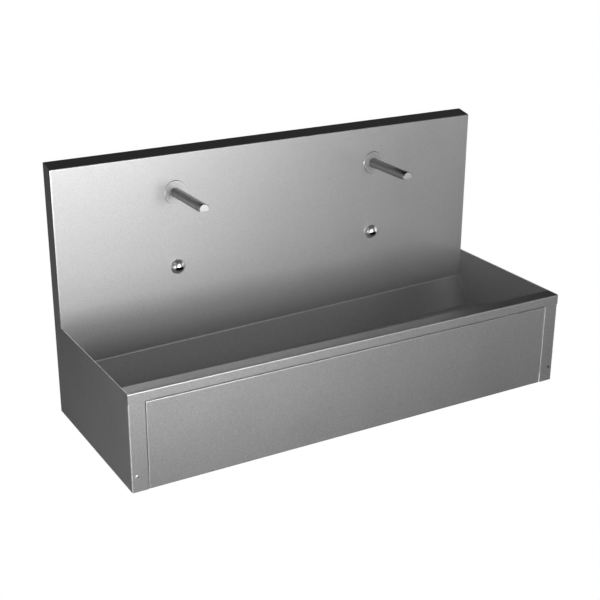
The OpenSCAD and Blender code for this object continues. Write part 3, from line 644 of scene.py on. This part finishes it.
def brass():
    return cast_metal("raw_brass", tones().brass, roughness=0.36, fleck=1.6 * MM, depth=0.05 * MM)


def turned_steel():
    """Waste and strainer, turned about the waste's axis"""
    return cast_metal("turned_waste", bpy.context.scene.sink_sheet.tone, roughness=0.34,
                      fleck=2 * MM, depth=0.02 * MM, turned_about=middle("waste_body"))


def pipe_steel():
    return cast_metal("drawn_pipe", tones().pipe, roughness=0.30, fleck=3 * MM, depth=0.004 * MM)


def moulded(name, tone, roughness, fleck, depth, wear):
    """Moulded plastic, rubber or sheet: spark texture, dull patches and pale scuffed edges"""
    made, tree, shader = start_material(name)
    grain = use_group(tree, "grain", Color=rgba(tone), Size=fleck, Contrast=0.25)
    cloud = use_group(tree, "cloud", Roughness=roughness, Amount=0.1, Size=0.04)
    edges = use_group(tree, "edges", Radius=0.8 * MM, Amount=wear)
    scuffed = rgba(SCUFF_SHARE * channel + SCUFF_GREY for channel in tone)
    colour = mix_colour(tree, edges["Mask"], grain["Color"], scuffed)
    surface(tree, shader, colour, cloud["Roughness"], grain["Height"], depth)
    return made


def black_plastic():
    return moulded("black_moulding", tones().black, roughness=0.45, fleck=MM, depth=0.04 * MM,
                   wear=0.3)


def grey_plastic():
    return moulded("grey_moulding", tones().grey, roughness=0.5, fleck=1.2 * MM,
                   depth=0.04 * MM, wear=0.15)


def lever_coat():
    made = moulded("lever_dip", tones().lever, roughness=0.32, fleck=2 * MM, depth=0.03 * MM,
                   wear=0.25)
    shader = made.node_tree.nodes["Principled BSDF"]
    shader.inputs["Coat Weight"].default_value = 0.5
    shader.inputs["Coat Roughness"].default_value = 0.15
    return made


def rubber():
    return moulded("seal_rubber", tones().rubber, roughness=0.7, fleck=0.8 * MM,
                   depth=0.04 * MM, wear=0.1)


def damping_sheet():
    return moulded("damping_felt", tones().pad, roughness=0.85, fleck=3 * MM, depth=0.4 * MM,
                   wear=0.2)


# How each finish is made, by its slot's name or its own, and those made so far
FINISHES = {finish.__name__: finish for finish in (
    satin_steel, spout_steel, inner_steel, mirror_chrome, dark_window, brass, pipe_steel,
    black_plastic, grey_plastic, lever_coat, rubber, damping_sheet, turned_steel, weld_metal,
    ground_weld_highlight)}
MADE = {}


def finish_of(key):
    """A finish, made on first use"""
    if key not in MADE:
        MADE[key] = FINISHES[key]()
    return MADE[key]


def dress(*nodes, finish=None):
    """Give packed nodes the finish of their own slots, or one that is named"""
    for node in nodes:
        for part in NODES[node].material_slots:
            part.material = finish_of(finish or part.material.name.split(".")[0])


# Mesh forms

# Edges of a piece stay crisp above this angle
CRISP = math.radians(50)

# Beads: stations on a ripple, length between those of a smooth one, points round it, how far its
# ripples swing its radius, and the share of that left at the ends
RIPPLE_STATIONS = 4
SMOOTH_STATION = 0.05
BEAD_SIDES = 8
RIPPLE_SWING = 0.16
BEAD_END = 0.55

# How far sideways a bead runs when its cross direction is taken from the depth
MOSTLY_SIDEWAYS = 0.9

# Steps of a full turn
TURNED_STEPS = 48
THREAD_STEPS = 40
SPOT_STEPS = 20

# Thread ridge: its depth, the share of that sunk in the cylinder, half its foot and crest in
# shares of the pitch, the share of its height left at the ends, and what that gains in a turn
THREAD_DEPTH = 0.25 * MM
STUD_THREAD_DEPTH = 0.15 * MM
THREAD_SUNK = 0.25
HALF_FOOT = 0.42
HALF_CREST = 0.06
RUN_OUT_END = 0.05
RUN_OUT_GAIN = 6

# One side of a hexagon, and how far over its flats a nut's face is turned
HEX_SIDE = math.pi / 3
NUT_FACE = 1.005

# Spot weld: height of its middle, and its rings by share of the diameter and by height
SPOT_MIDDLE = 0.05 * MM
SPOT_RINGS = ((0.30, 0.05 * MM), (0.40, 0.16 * MM), (0.47, 0.10 * MM), (0.5, -0.1 * MM))

# Screw head: its outline by shares of radius and height, and steps of one half
HEAD_OUTLINE = ((1.0, 0.0), (1.0, 0.7), (0.84, 1.0))
HEAD_STEPS = 12


def new_object(name, data):
    """Object of a mesh, light or camera, in the scene"""
    made = bpy.data.objects.new(name, data)
    bpy.context.scene.collection.objects.link(made)
    return made


def add_piece(name, bm, finish, body=TROUGH):
    """Link a mesh with its finish and its body"""
    bmesh.ops.recalc_face_normals(bm, faces=bm.faces)
    mesh = bpy.data.meshes.new(name)
    bm.to_mesh(mesh)
    bm.free()
    for face in mesh.polygons:
        face.use_smooth = True
    mesh.set_sharp_from_angle(angle=CRISP)
    mesh.materials.append(finish_of(finish))
    made = new_object(name, mesh)
    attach(made, body)


def frame_at(place, axis):
    """Matrix that carries local Z onto an axis at a place"""
    return Matrix.Translation(place) @ UP.rotation_difference(Vector(axis)).to_matrix().to_4x4()


def full_turn(steps):
    """Angles once round, in equal steps"""
    return [2 * math.pi * i / steps for i in range(steps)]


def point(bm, carry, radius, turn, height):
    """Point at a radius, an angle and a height about a carried axis"""
    return bm.verts.new(carry @ Vector((radius * math.cos(turn), radius * math.sin(turn), height)))


def flat_ring(bm, carry, radius, height, steps):
    """Circle of points about a carried axis"""
    return [point(bm, carry, radius, turn, height) for turn in full_turn(steps)]


def join_rings(bm, first, second):
    for i in range(len(first)):
        j = (i + 1) % len(first)
        bm.faces.new((first[i], first[j], second[j], second[i]))


def skin(bm, rings, closed=False):
    """Faces from ring to ring, and then back to the first ring or over both ends"""
    for first, second in zip(rings, rings[1:]):
        join_rings(bm, first, second)
    if closed:
        join_rings(bm, rings[-1], rings[0])
    else:
        bm.faces.new(rings[0])
        bm.faces.new(rings[-1])


def stations_on(path, step):
    """Places along a path, about one step apart"""
    places = []
    for start, end in zip(path, path[1:]):
        count = max(1, round((end - start).length / step))
        places += [start.lerp(end, i / count) for i in range(count)]
    return places + [path[-1]]


def bead(bm, path, radius, ripple=0.0):
    """Weld bead along a path, its radius rising and falling where it is rippled"""
    places = stations_on(path, ripple / RIPPLE_STATIONS if ripple else SMOOTH_STATION)
    last = len(places) - 1
    rings = []
    for i, place in enumerate(places):
        heading = (places[min(i + 1, last)] - places[max(i - 1, 0)]).normalized()
        sideways = abs(heading.x) >= MOSTLY_SIDEWAYS
        across = BACK if sideways else heading.orthogonal().normalized()
        across = (across - across.dot(heading) * heading).normalized()
        along = heading.cross(across)
        size = radius
        if ripple:
            size *= 1 + RIPPLE_SWING * math.cos(2 * math.pi * i / RIPPLE_STATIONS)
        if i in (0, last):
            size *= BEAD_END
        rings.append([
            bm.verts.new(place + size * (math.cos(turn) * across + math.sin(turn) * along))
            for turn in full_turn(BEAD_SIDES)])
    skin(bm, rings)


def add_bead(name, path, radius, finish, ripple=0.0):
    """Weld bead as a piece of its own"""
    bm = bmesh.new()
    bead(bm, path, radius, ripple)
    add_piece(name, bm, finish)


def revolve(bm, place, axis, outline):
    """Closed ring turned about an axis, from an outline of (radius, height) corners"""
    carry = frame_at(place, axis)
    cuts = [[point(bm, carry, radius, turn, height) for radius, height in outline]
            for turn in full_turn(TURNED_STEPS)]
    skin(bm, cuts, closed=True)


def helix(bm, place, axis, radius, pitch, length, depth=THREAD_DEPTH):
    """Thread ridge wound on a cylinder from a place along an axis"""
    carry = frame_at(place, axis)
    foot = radius - THREAD_SUNK * depth
    count = round((length - pitch) / pitch * THREAD_STEPS)
    cuts = []
    for i in range(count + 1):
        turn = 2 * math.pi * i / THREAD_STEPS
        rise = pitch / 2 + pitch * i / THREAD_STEPS
        height = min(1.0, RUN_OUT_GAIN * min(i, count - i) / THREAD_STEPS + RUN_OUT_END)
        crest = radius + height * depth
        corners = ((foot, -HALF_FOOT), (crest, -HALF_CREST),
                   (crest, HALF_CREST), (foot, HALF_FOOT))
        cuts.append([point(bm, carry, r, turn, rise + share * pitch) for r, share in corners])
    skin(bm, cuts)


def hex_ring(bm, place, axis, width, inner_radius, thick, chamfer):
    """Hexagon nut with turned-off corners on both faces"""
    carry = frame_at(place, axis)
    rings = []
    for height in (0.0, chamfer, thick - chamfer, thick):
        ring = []
        for turn in full_turn(TURNED_STEPS):
            from_flat = (turn + HEX_SIDE / 2) % HEX_SIDE - HEX_SIDE / 2
            radius = width / 2 / math.cos(from_flat)
            if height in (0.0, thick):
                radius = min(radius, width / 2 * NUT_FACE)
            ring.append(point(bm, carry, radius, turn, height))
        rings.append(ring)
    for height in (thick, 0.0):
        rings.append(flat_ring(bm, carry, inner_radius, height, TURNED_STEPS))
    skin(bm, rings, closed=True)


def spot_weld(bm, place, axis, diameter):
    """Shallow pressed spot with a raised rim"""
    carry = frame_at(place, axis)
    centre = point(bm, carry, 0.0, 0.0, SPOT_MIDDLE)
    rings = [flat_ring(bm, carry, share * diameter, height, SPOT_STEPS)
             for share, height in SPOT_RINGS]
    inner = rings[0]
    for first, second in zip(inner, inner[1:] + inner[:1]):
        bm.faces.new((centre, first, second))
    for first, second in zip(rings, rings[1:]):
        join_rings(bm, first, second)
    bm.faces.new(rings[-1])


def slotted_head(bm, place, axis, radius, height, slot):
    """Cheese head of a screw, as the two halves at the sides of its slot"""
    carry = frame_at(place, axis)
    start = math.asin(slot / 2 / radius)
    sweep = math.pi - 2 * start
    for half in (1, -1):
        rings = []
        for share, rise in HEAD_OUTLINE:
            ring = []
            for i in range(HEAD_STEPS + 1):
                turn = start + sweep * i / HEAD_STEPS
                x = share * radius * math.cos(turn)
                y = half * max(slot / 2, share * radius * math.sin(turn))
                ring.append(bm.verts.new(carry @ Vector((x, y, rise * height))))
            rings.append(ring)
        skin(bm, rings)


# Places read from the nodes

# Slice of a node's end where its lowest point is looked for
END_SLICE = MM


def lowest_at_end(node, side):
    """Height of a node's lowest point at one end"""
    start = high(node).x - END_SLICE
    return min(v.co.z for v in NODES[node].data.vertices if side * v.co.x > start)


def floor_height(side):
    """Height of the basin floor's upper face at one end"""
    return lowest_at_end("basin", side) + SHEET


def floor_at(x):
    """Height of the falling floor's upper face at a place along the trough"""
    end = high("basin").x
    left, right = floor_height(-1), floor_height(1)
    return left + (right - left) * (x + end) / (2 * end)


def wall_y():
    """Inner face of the basin's front wall"""
    return low("basin").y + RIM_WIDTH


# Welds of the shell


def fold_place(side):
    """Where the splashback meets the shelf at one end, sunk a little in it"""
    foot = lowest_at_end("splashback", side)
    return Vector((side * high("basin").x, low("splashback").y + WELD_SUNK, foot - WELD_SUNK))


def weld_fold(welds):
    """Ground weld along the back fold"""
    path = [fold_place(side) for side in SIDES.values()]
    add_bead("fold_weld", path, welds.fold_bead, "ground_weld_highlight")


def weld_wall(welds):
    """Ground weld along the seam of the basin's front wall"""
    end, y = high("basin").x, wall_y() - WELD_SUNK
    path = [Vector((side * end, y, -WALL_SEAM_DEPTH)) for side in SIDES.values()]
    add_bead("wall_weld", path, welds.corner_bead, "ground_weld_highlight")


def weld_basin_end(name, welds):
    """Weld down the shelf, along the floor and up the front wall at one end"""
    side = SIDES[name]
    floor = floor_height(side)
    face_y = low("splashback").y
    shelf_y = face_y - FOLD_RISE / math.tan(SHELF_ANGLE)
    outline = (
        (face_y, fold_place(side).z),
        (shelf_y + WELD_CORNER, floor + WELD_CORNER),
        (shelf_y - WELD_CORNER, floor),
        (wall_y() + WELD_CORNER, floor),
        (wall_y(), floor + WELD_CORNER),
        (wall_y(), -BEND),
    )
    path = [Vector((side * high("basin").x, y, z)) for y, z in outline]
    add_bead(f"basin_end_weld_{name}", path, welds.corner_bead, "satin_steel")


def weld_dish(welds):
    """Rippled weld round the waste's dish, under the falling floor"""
    waste = middle("waste_body")
    proud = WELD_PROUD * welds.hidden_bead
    radius = DISH_RADIUS + proud
    path = []
    for degrees in range(0, 360 + DISH_STEP, DISH_STEP):
        turn = math.radians(degrees)
        x = waste.x + radius * math.cos(turn)
        y = waste.y + radius * math.sin(turn)
        path.append(Vector((x, y, floor_at(x) - SHEET - proud)))
    add_bead("dish_weld", path, welds.hidden_bead, "weld_metal", welds.ripple)


class SinkOperator:
    """Shared options of the operators"""

    bl_options = {"REGISTER", "UNDO"}


class SINK_OT_shell(SinkOperator, bpy.types.Operator):
    """Finish the splashback, basin and end panels, and lay their welds"""

    bl_idname = "trough_sink.shell"
    bl_label = "Shell and welds"

    def execute(self, context):
        dress("splashback", "basin", *both_sides("end_panel"), "damping_pads")
        welds = context.scene.sink_welds
        weld_fold(welds)
        weld_wall(welds)
        for name in SIDES:
            weld_basin_end(name, welds)
        weld_dish(welds)
        return {"FINISHED"}


def weld_tabs(welds):
    """Spot welds of the locking tabs"""
    y, z = high("panel_lock_tabs").y, middle("panel_lock_tabs").z
    bm = bmesh.new()
    for side in SIDES.values():
        for rise in (-TAB_WELD_RISE, TAB_WELD_RISE):
            spot_weld(bm, Vector((side * TAB_WELD_X, y, z + rise)), BACK, welds.spot)
    add_piece("panel_tab_spots", bm, "weld_metal", PANEL)


def weld_hooks(welds):
    """Rippled welds under the hooks"""
    reach = high("panel_hooks").x
    y, z = high("access_panel").y, low("panel_hooks").z
    bm = bmesh.new()
    for side in SIDES.values():
        path = [Vector((side * x, y, z)) for x in (reach - HOOK_WIDTH, reach)]
        bead(bm, path, HOOK_WELD_SHARE * welds.hidden_bead, welds.ripple)
    add_piece("panel_hook_welds", bm, "weld_metal", PANEL)


class SINK_OT_panel(SinkOperator, bpy.types.Operator):
    """Finish the access panel, its locking tabs and hooks, and weld them on"""

    bl_idname = "trough_sink.panel"
    bl_label = "Access panel"

    def execute(self, context):
        dress("access_panel", "panel_lock_tabs", "panel_hooks")
        weld_tabs(context.scene.sink_welds)
        weld_hooks(context.scene.sink_welds)
        return {"FINISHED"}


class SINK_OT_spouts(SinkOperator, bpy.types.Operator):
    """Finish the spouts, rosettes, nozzles, locknuts and elbows"""

    bl_idname = "trough_sink.spouts"
    bl_label = "Spouts"

    def execute(self, context):
        dress(*both_sides("spout", "spout_rosette", "spout_nozzle", "spout_locknut",
                          "spout_elbow"))
        return {"FINISHED"}


class SINK_OT_sensors(SinkOperator, bpy.types.Operator):
    """Finish the sensor domes, windows, barrels and locknuts, and cut the barrels' threads"""

    bl_idname = "trough_sink.sensors"
    bl_label = "Sensors"

    def execute(self, context):
        dress(*both_sides("sensor_dome", "sensor_window", "sensor_barrel", "sensor_locknut"))
        pitch = context.scene.sink_threads.barrel
        for name in SIDES:
            barrel = middle(f"sensor_barrel_{name}")
            start = high(f"sensor_locknut_{name}").y
            length = high(f"sensor_barrel_{name}").y - start
            bm = bmesh.new()
            helix(bm, Vector((barrel.x, start, barrel.z)), BACK, BARREL_RADIUS, pitch, length)
            add_piece(f"barrel_thread_{name}", bm, "black_plastic")
        return {"FINISHED"}


def thread_inlet(name, pitch):
    """Thread of a stop valve's inlet, from the wall forward"""
    valve = middle(f"stop_valve_{name}")
    bm = bmesh.new()
    helix(bm, Vector((valve.x, WALL_Y, valve.z)), -BACK, INLET_RADIUS, pitch, INLET_THREAD)
    add_piece(f"inlet_thread_{name}", bm, "brass")


def nut_on_stem(name):
    """Packing nut round the boss at the front of a stop valve"""
    valve = middle(f"stop_valve_{name}")
    place = Vector((valve.x, low(f"stop_valve_{name}").y + PACKING_PLACE, valve.z))
    bm = bmesh.new()
    hex_ring(bm, place, -BACK, PACKING_WIDTH, BOSS_RADIUS, PACKING_THICK, PACKING_CHAMFER)
    add_piece(f"packing_nut_{name}", bm, "brass")


def rib_coil(name):
    """Ribs moulded round a solenoid's coil"""
    x = middle(f"stop_valve_{name}").x
    front = low(f"solenoid_coil_{name}").y
    outline = [(COIL_RADIUS + rise, height) for rise, height in COIL_RIB]
    bm = bmesh.new()
    for i in range(COIL_RIBS):
        y = front + COIL_RIB_START + i * COIL_RIB_PITCH
        revolve(bm, Vector((x, y, COIL_CENTRE)), BACK, outline)
    add_piece(f"coil_ribs_{name}", bm, "black_plastic")


def screw_plugs():
    """Slotted plug screws under the coils"""
    bm = bmesh.new()
    for coil in both_sides("solenoid_coil"):
        place = Vector((*middle(coil).xy, low(coil).z))
        slotted_head(bm, place, -UP, PLUG_RADIUS, PLUG_HEIGHT, PLUG_SLOT)
    add_piece("plug_screws", bm, "inner_steel")


class SINK_OT_supply(SinkOperator, bpy.types.Operator):
    """Finish the pipes and valves, and add their threads, packing nuts, coil ribs and plugs"""

    bl_idname = "trough_sink.supply"
    bl_label = "Water supply"

    def execute(self, context):
        dress(*both_sides("feed_pipe", "solenoid_valve", "solenoid_coil", "stop_valve",
                          "stop_lever"), "coil_nuts", "compression_nuts")
        for name in SIDES:
            thread_inlet(name, context.scene.sink_threads.inlet)
            nut_on_stem(name)
            rib_coil(name)
        screw_plugs()
        return {"FINISHED"}


class SINK_OT_control(SinkOperator, bpy.types.Operator):
    """Finish the control box, its gasket, lid, screws and glands, and rib the glands"""

    bl_idname = "trough_sink.control"
    bl_label = "Control box"

    def execute(self, context):
        dress("control_box", "lid_gasket", "control_box_lid", "control_box_screws", "cable_glands")
        gland = middle("cable_glands")
        top = high("cable_glands").z
        bm = bmesh.new()
        for i in (-1, 0, 1):
            for turn in full_turn(GLAND_RIBS):
                x = i * GLAND_PITCH + GLAND_RADIUS * math.cos(turn)
                y = gland.y + GLAND_RADIUS * math.sin(turn)
                path = [Vector((x, y, top - drop)) for drop in (GLAND_RIB_FOOT, GLAND_RIB_TOP)]
                bead(bm, path, GLAND_RIB_RADIUS)
        add_piece("gland_ribs", bm, "black_plastic")
        return {"FINISHED"}


class SINK_OT_waste(SinkOperator, bpy.types.Operator):
    """Finish the waste, its seal, backnut and strainer, and cut its thread"""

    bl_idname = "trough_sink.waste"
    bl_label = "Waste"

    def execute(self, context):
        dress("waste_body", "waste_strainer", finish="turned_steel")
        dress("waste_seal", "waste_backnut")
        place = Vector((*middle("waste_body").xy, low("waste_backnut").z))
        pitch = context.scene.sink_threads.waste
        bm = bmesh.new()
        helix(bm, place, -UP, WASTE_THREAD_RADIUS, pitch, WASTE_THREAD)
        add_piece("waste_thread", bm, "turned_steel")
        return {"FINISHED"}


def weld_stiffener(welds):
    """Spot welds along both flanges of the stiffener"""
    lower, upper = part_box("splashback_stiffener")
    count = round((upper.x - lower.x - 2 * STIFFENER_FLANGE) / welds.spot_pitch)
    bm = bmesh.new()
    for i in range(count):
        x = (i - (count - 1) / 2) * welds.spot_pitch
        for z in (lower.z + STIFFENER_FLANGE / 2, upper.z - STIFFENER_FLANGE / 2):
            spot_weld(bm, Vector((x, lower.y + SHEET, z)), BACK, welds.spot)
    add_piece("stiffener_spots", bm, "weld_metal")


def weld_rail(name, welds):
    """Rippled weld at one end of the rail, along its foot and up its back"""
    lower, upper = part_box("service_rail")
    proud = WELD_PROUD * welds.hidden_bead
    x = SIDES[name] * (upper.x - proud)
    y = WALL_Y - RAIL_THICK - proud
    z = lower.z + RAIL_THICK + proud
    outline = ((lower.y + RAIL_WELD_END, z), (y - RAIL_WELD_TURN, z),
               (y, z + RAIL_WELD_TURN), (y, upper.z - RAIL_WELD_END))
    path = [Vector((x, *place)) for place in outline]
    add_bead(f"rail_weld_{name}", path, welds.hidden_bead, "weld_metal",
             welds.ripple)


def thread_studs(pitch):
    """Threads of the brackets' studs, from the nuts inward"""
    bm = bmesh.new()
    for side in SIDES.values():
        x = side * (high("bracket_nuts").x - BRACKET_NUT_THICK)
        for z in (-STUD_RISE, STUD_RISE):
            helix(bm, Vector((x, STUD_Y, z)), -side * RIGHT, STUD_RADIUS, pitch, STUD_END,
                  STUD_THREAD_DEPTH)
    add_piece("stud_threads", bm, "inner_steel")


class SINK_OT_fixing(SinkOperator, bpy.types.Operator):
    """Finish the stiffener, rail, wall brackets, nuts and washers, and add welds and threads"""

    bl_idname = "trough_sink.fixing"
    bl_label = "Rails and wall fixing"

    def execute(self, context):
        dress("splashback_stiffener", "service_rail", *both_sides("wall_bracket"),
              "bracket_nuts", "bracket_washers")
        weld_stiffener(context.scene.sink_welds)
        for name in SIDES:
            weld_rail(name, context.scene.sink_welds)
        thread_studs(context.scene.sink_threads.stud)
        return {"FINISHED"}


# Studio

# Half the width of the square floor, and the camera's sensor in millimetres
FLOOR_HALF = 12.0
SENSOR_WIDTH = 36

# Softboxes round the sink: azimuth and elevation in degrees, width and height in metres, watts
SOFTBOXES = {
    "key_light": (4, 3, 1.3, 1.3, 45),
    "front_light": (9, 14, 1.2, 1.2, 17),
    "low_front_light": (-24, -9, 4.8, 1.1, 19),
    "shelf_light": (20, 30, 1.1, 1.1, 4.5),
    "high_left_light": (-68, 44, 1.7, 1.3, 5),
    "left_light": (-57, -10, 1.2, 2.6, 26),
    "right_light": (78, -2, 1.3, 2.6, 20),
    "rear_left_light": (258, -20, 2.6, 1.6, 12),
    "rear_right_light": (160, -8, 2.2, 2.4, 60),
}


def grey(level):
    return (level, level, level, 1)


def aim(thing, target, roll=0.0):
    """Point a camera or light at a target, level but for its roll"""
    heading = Vector(target) - thing.location
    thing.rotation_mode = "QUATERNION"
    thing.rotation_quaternion = heading.to_track_quat("-Z", "Y") @ Quaternion((0, 0, 1), roll)


def softbox(name, studio):
    """Area light that faces the sink from its place in the table"""
    azimuth, elevation, width, height, power = SOFTBOXES[name]
    turn, rise = math.radians(azimuth), math.radians(elevation)
    lamp = bpy.data.lights.new(name, "AREA")
    lamp.shape = "RECTANGLE"
    lamp.energy = power * studio.light_level
    lamp.size, lamp.size_y = width, height
    made = new_object(name, lamp)
    level = math.cos(rise)
    away = Vector((math.sin(turn) * level, -math.cos(turn) * level, math.sin(rise)))
    centre = (Vector(CAD_BOX[0]) + Vector(CAD_BOX[1])) / 2
    made.location = centre + studio.light_distance * away
    made.visible_camera = False
    aim(made, centre)


def floor_finish(studio):
    """Plain pale finish, clear from below so that the underside can be seen"""
    made, tree, shader = start_material("floor_pale")
    shader.inputs["Base Color"].default_value = grey(0.0)
    shader.inputs["Specular IOR Level"].default_value = 0.0
    shader.inputs["Emission Color"].default_value = grey(studio.backdrop)
    shader.inputs["Emission Strength"].default_value = 1.0
    clear = add_node(tree, "ShaderNodeBsdfTransparent")
    below = add_node(tree, "ShaderNodeNewGeometry").outputs["Backfacing"]
    pick = add_node(tree, "ShaderNodeMixShader")
    feed(tree, below, pick, 0)
    feed(tree, shader.outputs[0], pick, 1)
    feed(tree, clear.outputs[0], pick, 2)
    feed(tree, pick.outputs[0], tree.nodes["Material Output"], "Surface")
    return made


def pale_floor(studio):
    """Large floor that only the camera sees"""
    bm = bmesh.new()
    bm.faces.new([bm.verts.new((x * FLOOR_HALF, y * FLOOR_HALF, -studio.floor_drop))
                  for x, y in ((-1, -1), (1, -1), (1, 1), (-1, 1))])
    mesh = bpy.data.meshes.new("floor")
    bm.to_mesh(mesh)
    bm.free()
    mesh.materials.append(floor_finish(studio))
    floor = new_object("floor", mesh)
    floor.visible_glossy = floor.visible_diffuse = floor.visible_shadow = False


def studio_world(studio):
    """White where the camera looks past the object, a dim room for everything else"""
    world = bpy.data.worlds.new("studio")
    bpy.context.scene.world = world
    world.use_nodes = True
    tree = world.node_tree
    seen = add_node(tree, "ShaderNodeLightPath").outputs["Is Camera Ray"]
    colour = mix_colour(tree, seen, grey(studio.room), grey(studio.backdrop))
    feed(tree, colour, tree.nodes["Background"], "Color")


def set_camera(studio):
    """Camera at the photograph's angle"""
    lens = bpy.data.cameras.new("camera")
    lens.lens = studio.lens
    lens.sensor_width = SENSOR_WIDTH
    camera = new_object("camera", lens)
    camera.location = studio.camera_place
    aim(camera, studio.camera_aim, studio.camera_roll)
    bpy.context.scene.camera = camera


class SINK_OT_studio(SinkOperator, bpy.types.Operator):
    """Set the floor, lights, backdrop and camera"""

    bl_idname = "trough_sink.studio"
    bl_label = "Studio"

    def execute(self, context):
        studio = context.scene.sink_studio
        context.scene.view_settings.view_transform = "Standard"
        studio_world(studio)
        pale_floor(studio)
        for name in SOFTBOXES:
            softbox(name, studio)
        set_camera(studio)
        return {"FINISHED"}


OPERATORS = (SINK_OT_studio, SINK_OT_shell, SINK_OT_panel, SINK_OT_spouts, SINK_OT_sensors,
             SINK_OT_supply, SINK_OT_control, SINK_OT_waste, SINK_OT_fixing)


class SINK_PT_sidebar(bpy.types.Panel):
    """Lists the steps in the order in which they are run"""

    bl_idname = "SINK_PT_sidebar"
    bl_label = "Trough Sink"
    bl_space_type = "VIEW_3D"
    bl_region_type = "UI"
    bl_category = "Trough Sink"

    def draw(self, context):
        for step in OPERATORS:
            self.layout.operator(step.bl_idname)
        for name, group in SETTINGS.items():
            box = self.layout.box()
            box.label(text=group.__doc__)
            for setting in group.__annotations__:
                box.prop(getattr(context.scene, name), setting)


CLASSES = (*SETTINGS.values(), *OPERATORS, SINK_PT_sidebar)


def register():
    for made in CLASSES:
        bpy.utils.register_class(made)
    for name, group in SETTINGS.items():
        setattr(bpy.types.Scene, name, PointerProperty(type=group))


def unregister():
    for name in SETTINGS:
        delattr(bpy.types.Scene, name)
    for made in reversed(CLASSES):
        bpy.utils.unregister_class(made)


def main():
    register()
    for step in OPERATORS:
        group, name = step.bl_idname.split(".")
        getattr(getattr(bpy.ops, group), name)()


if __name__ == "__main__":
    main()
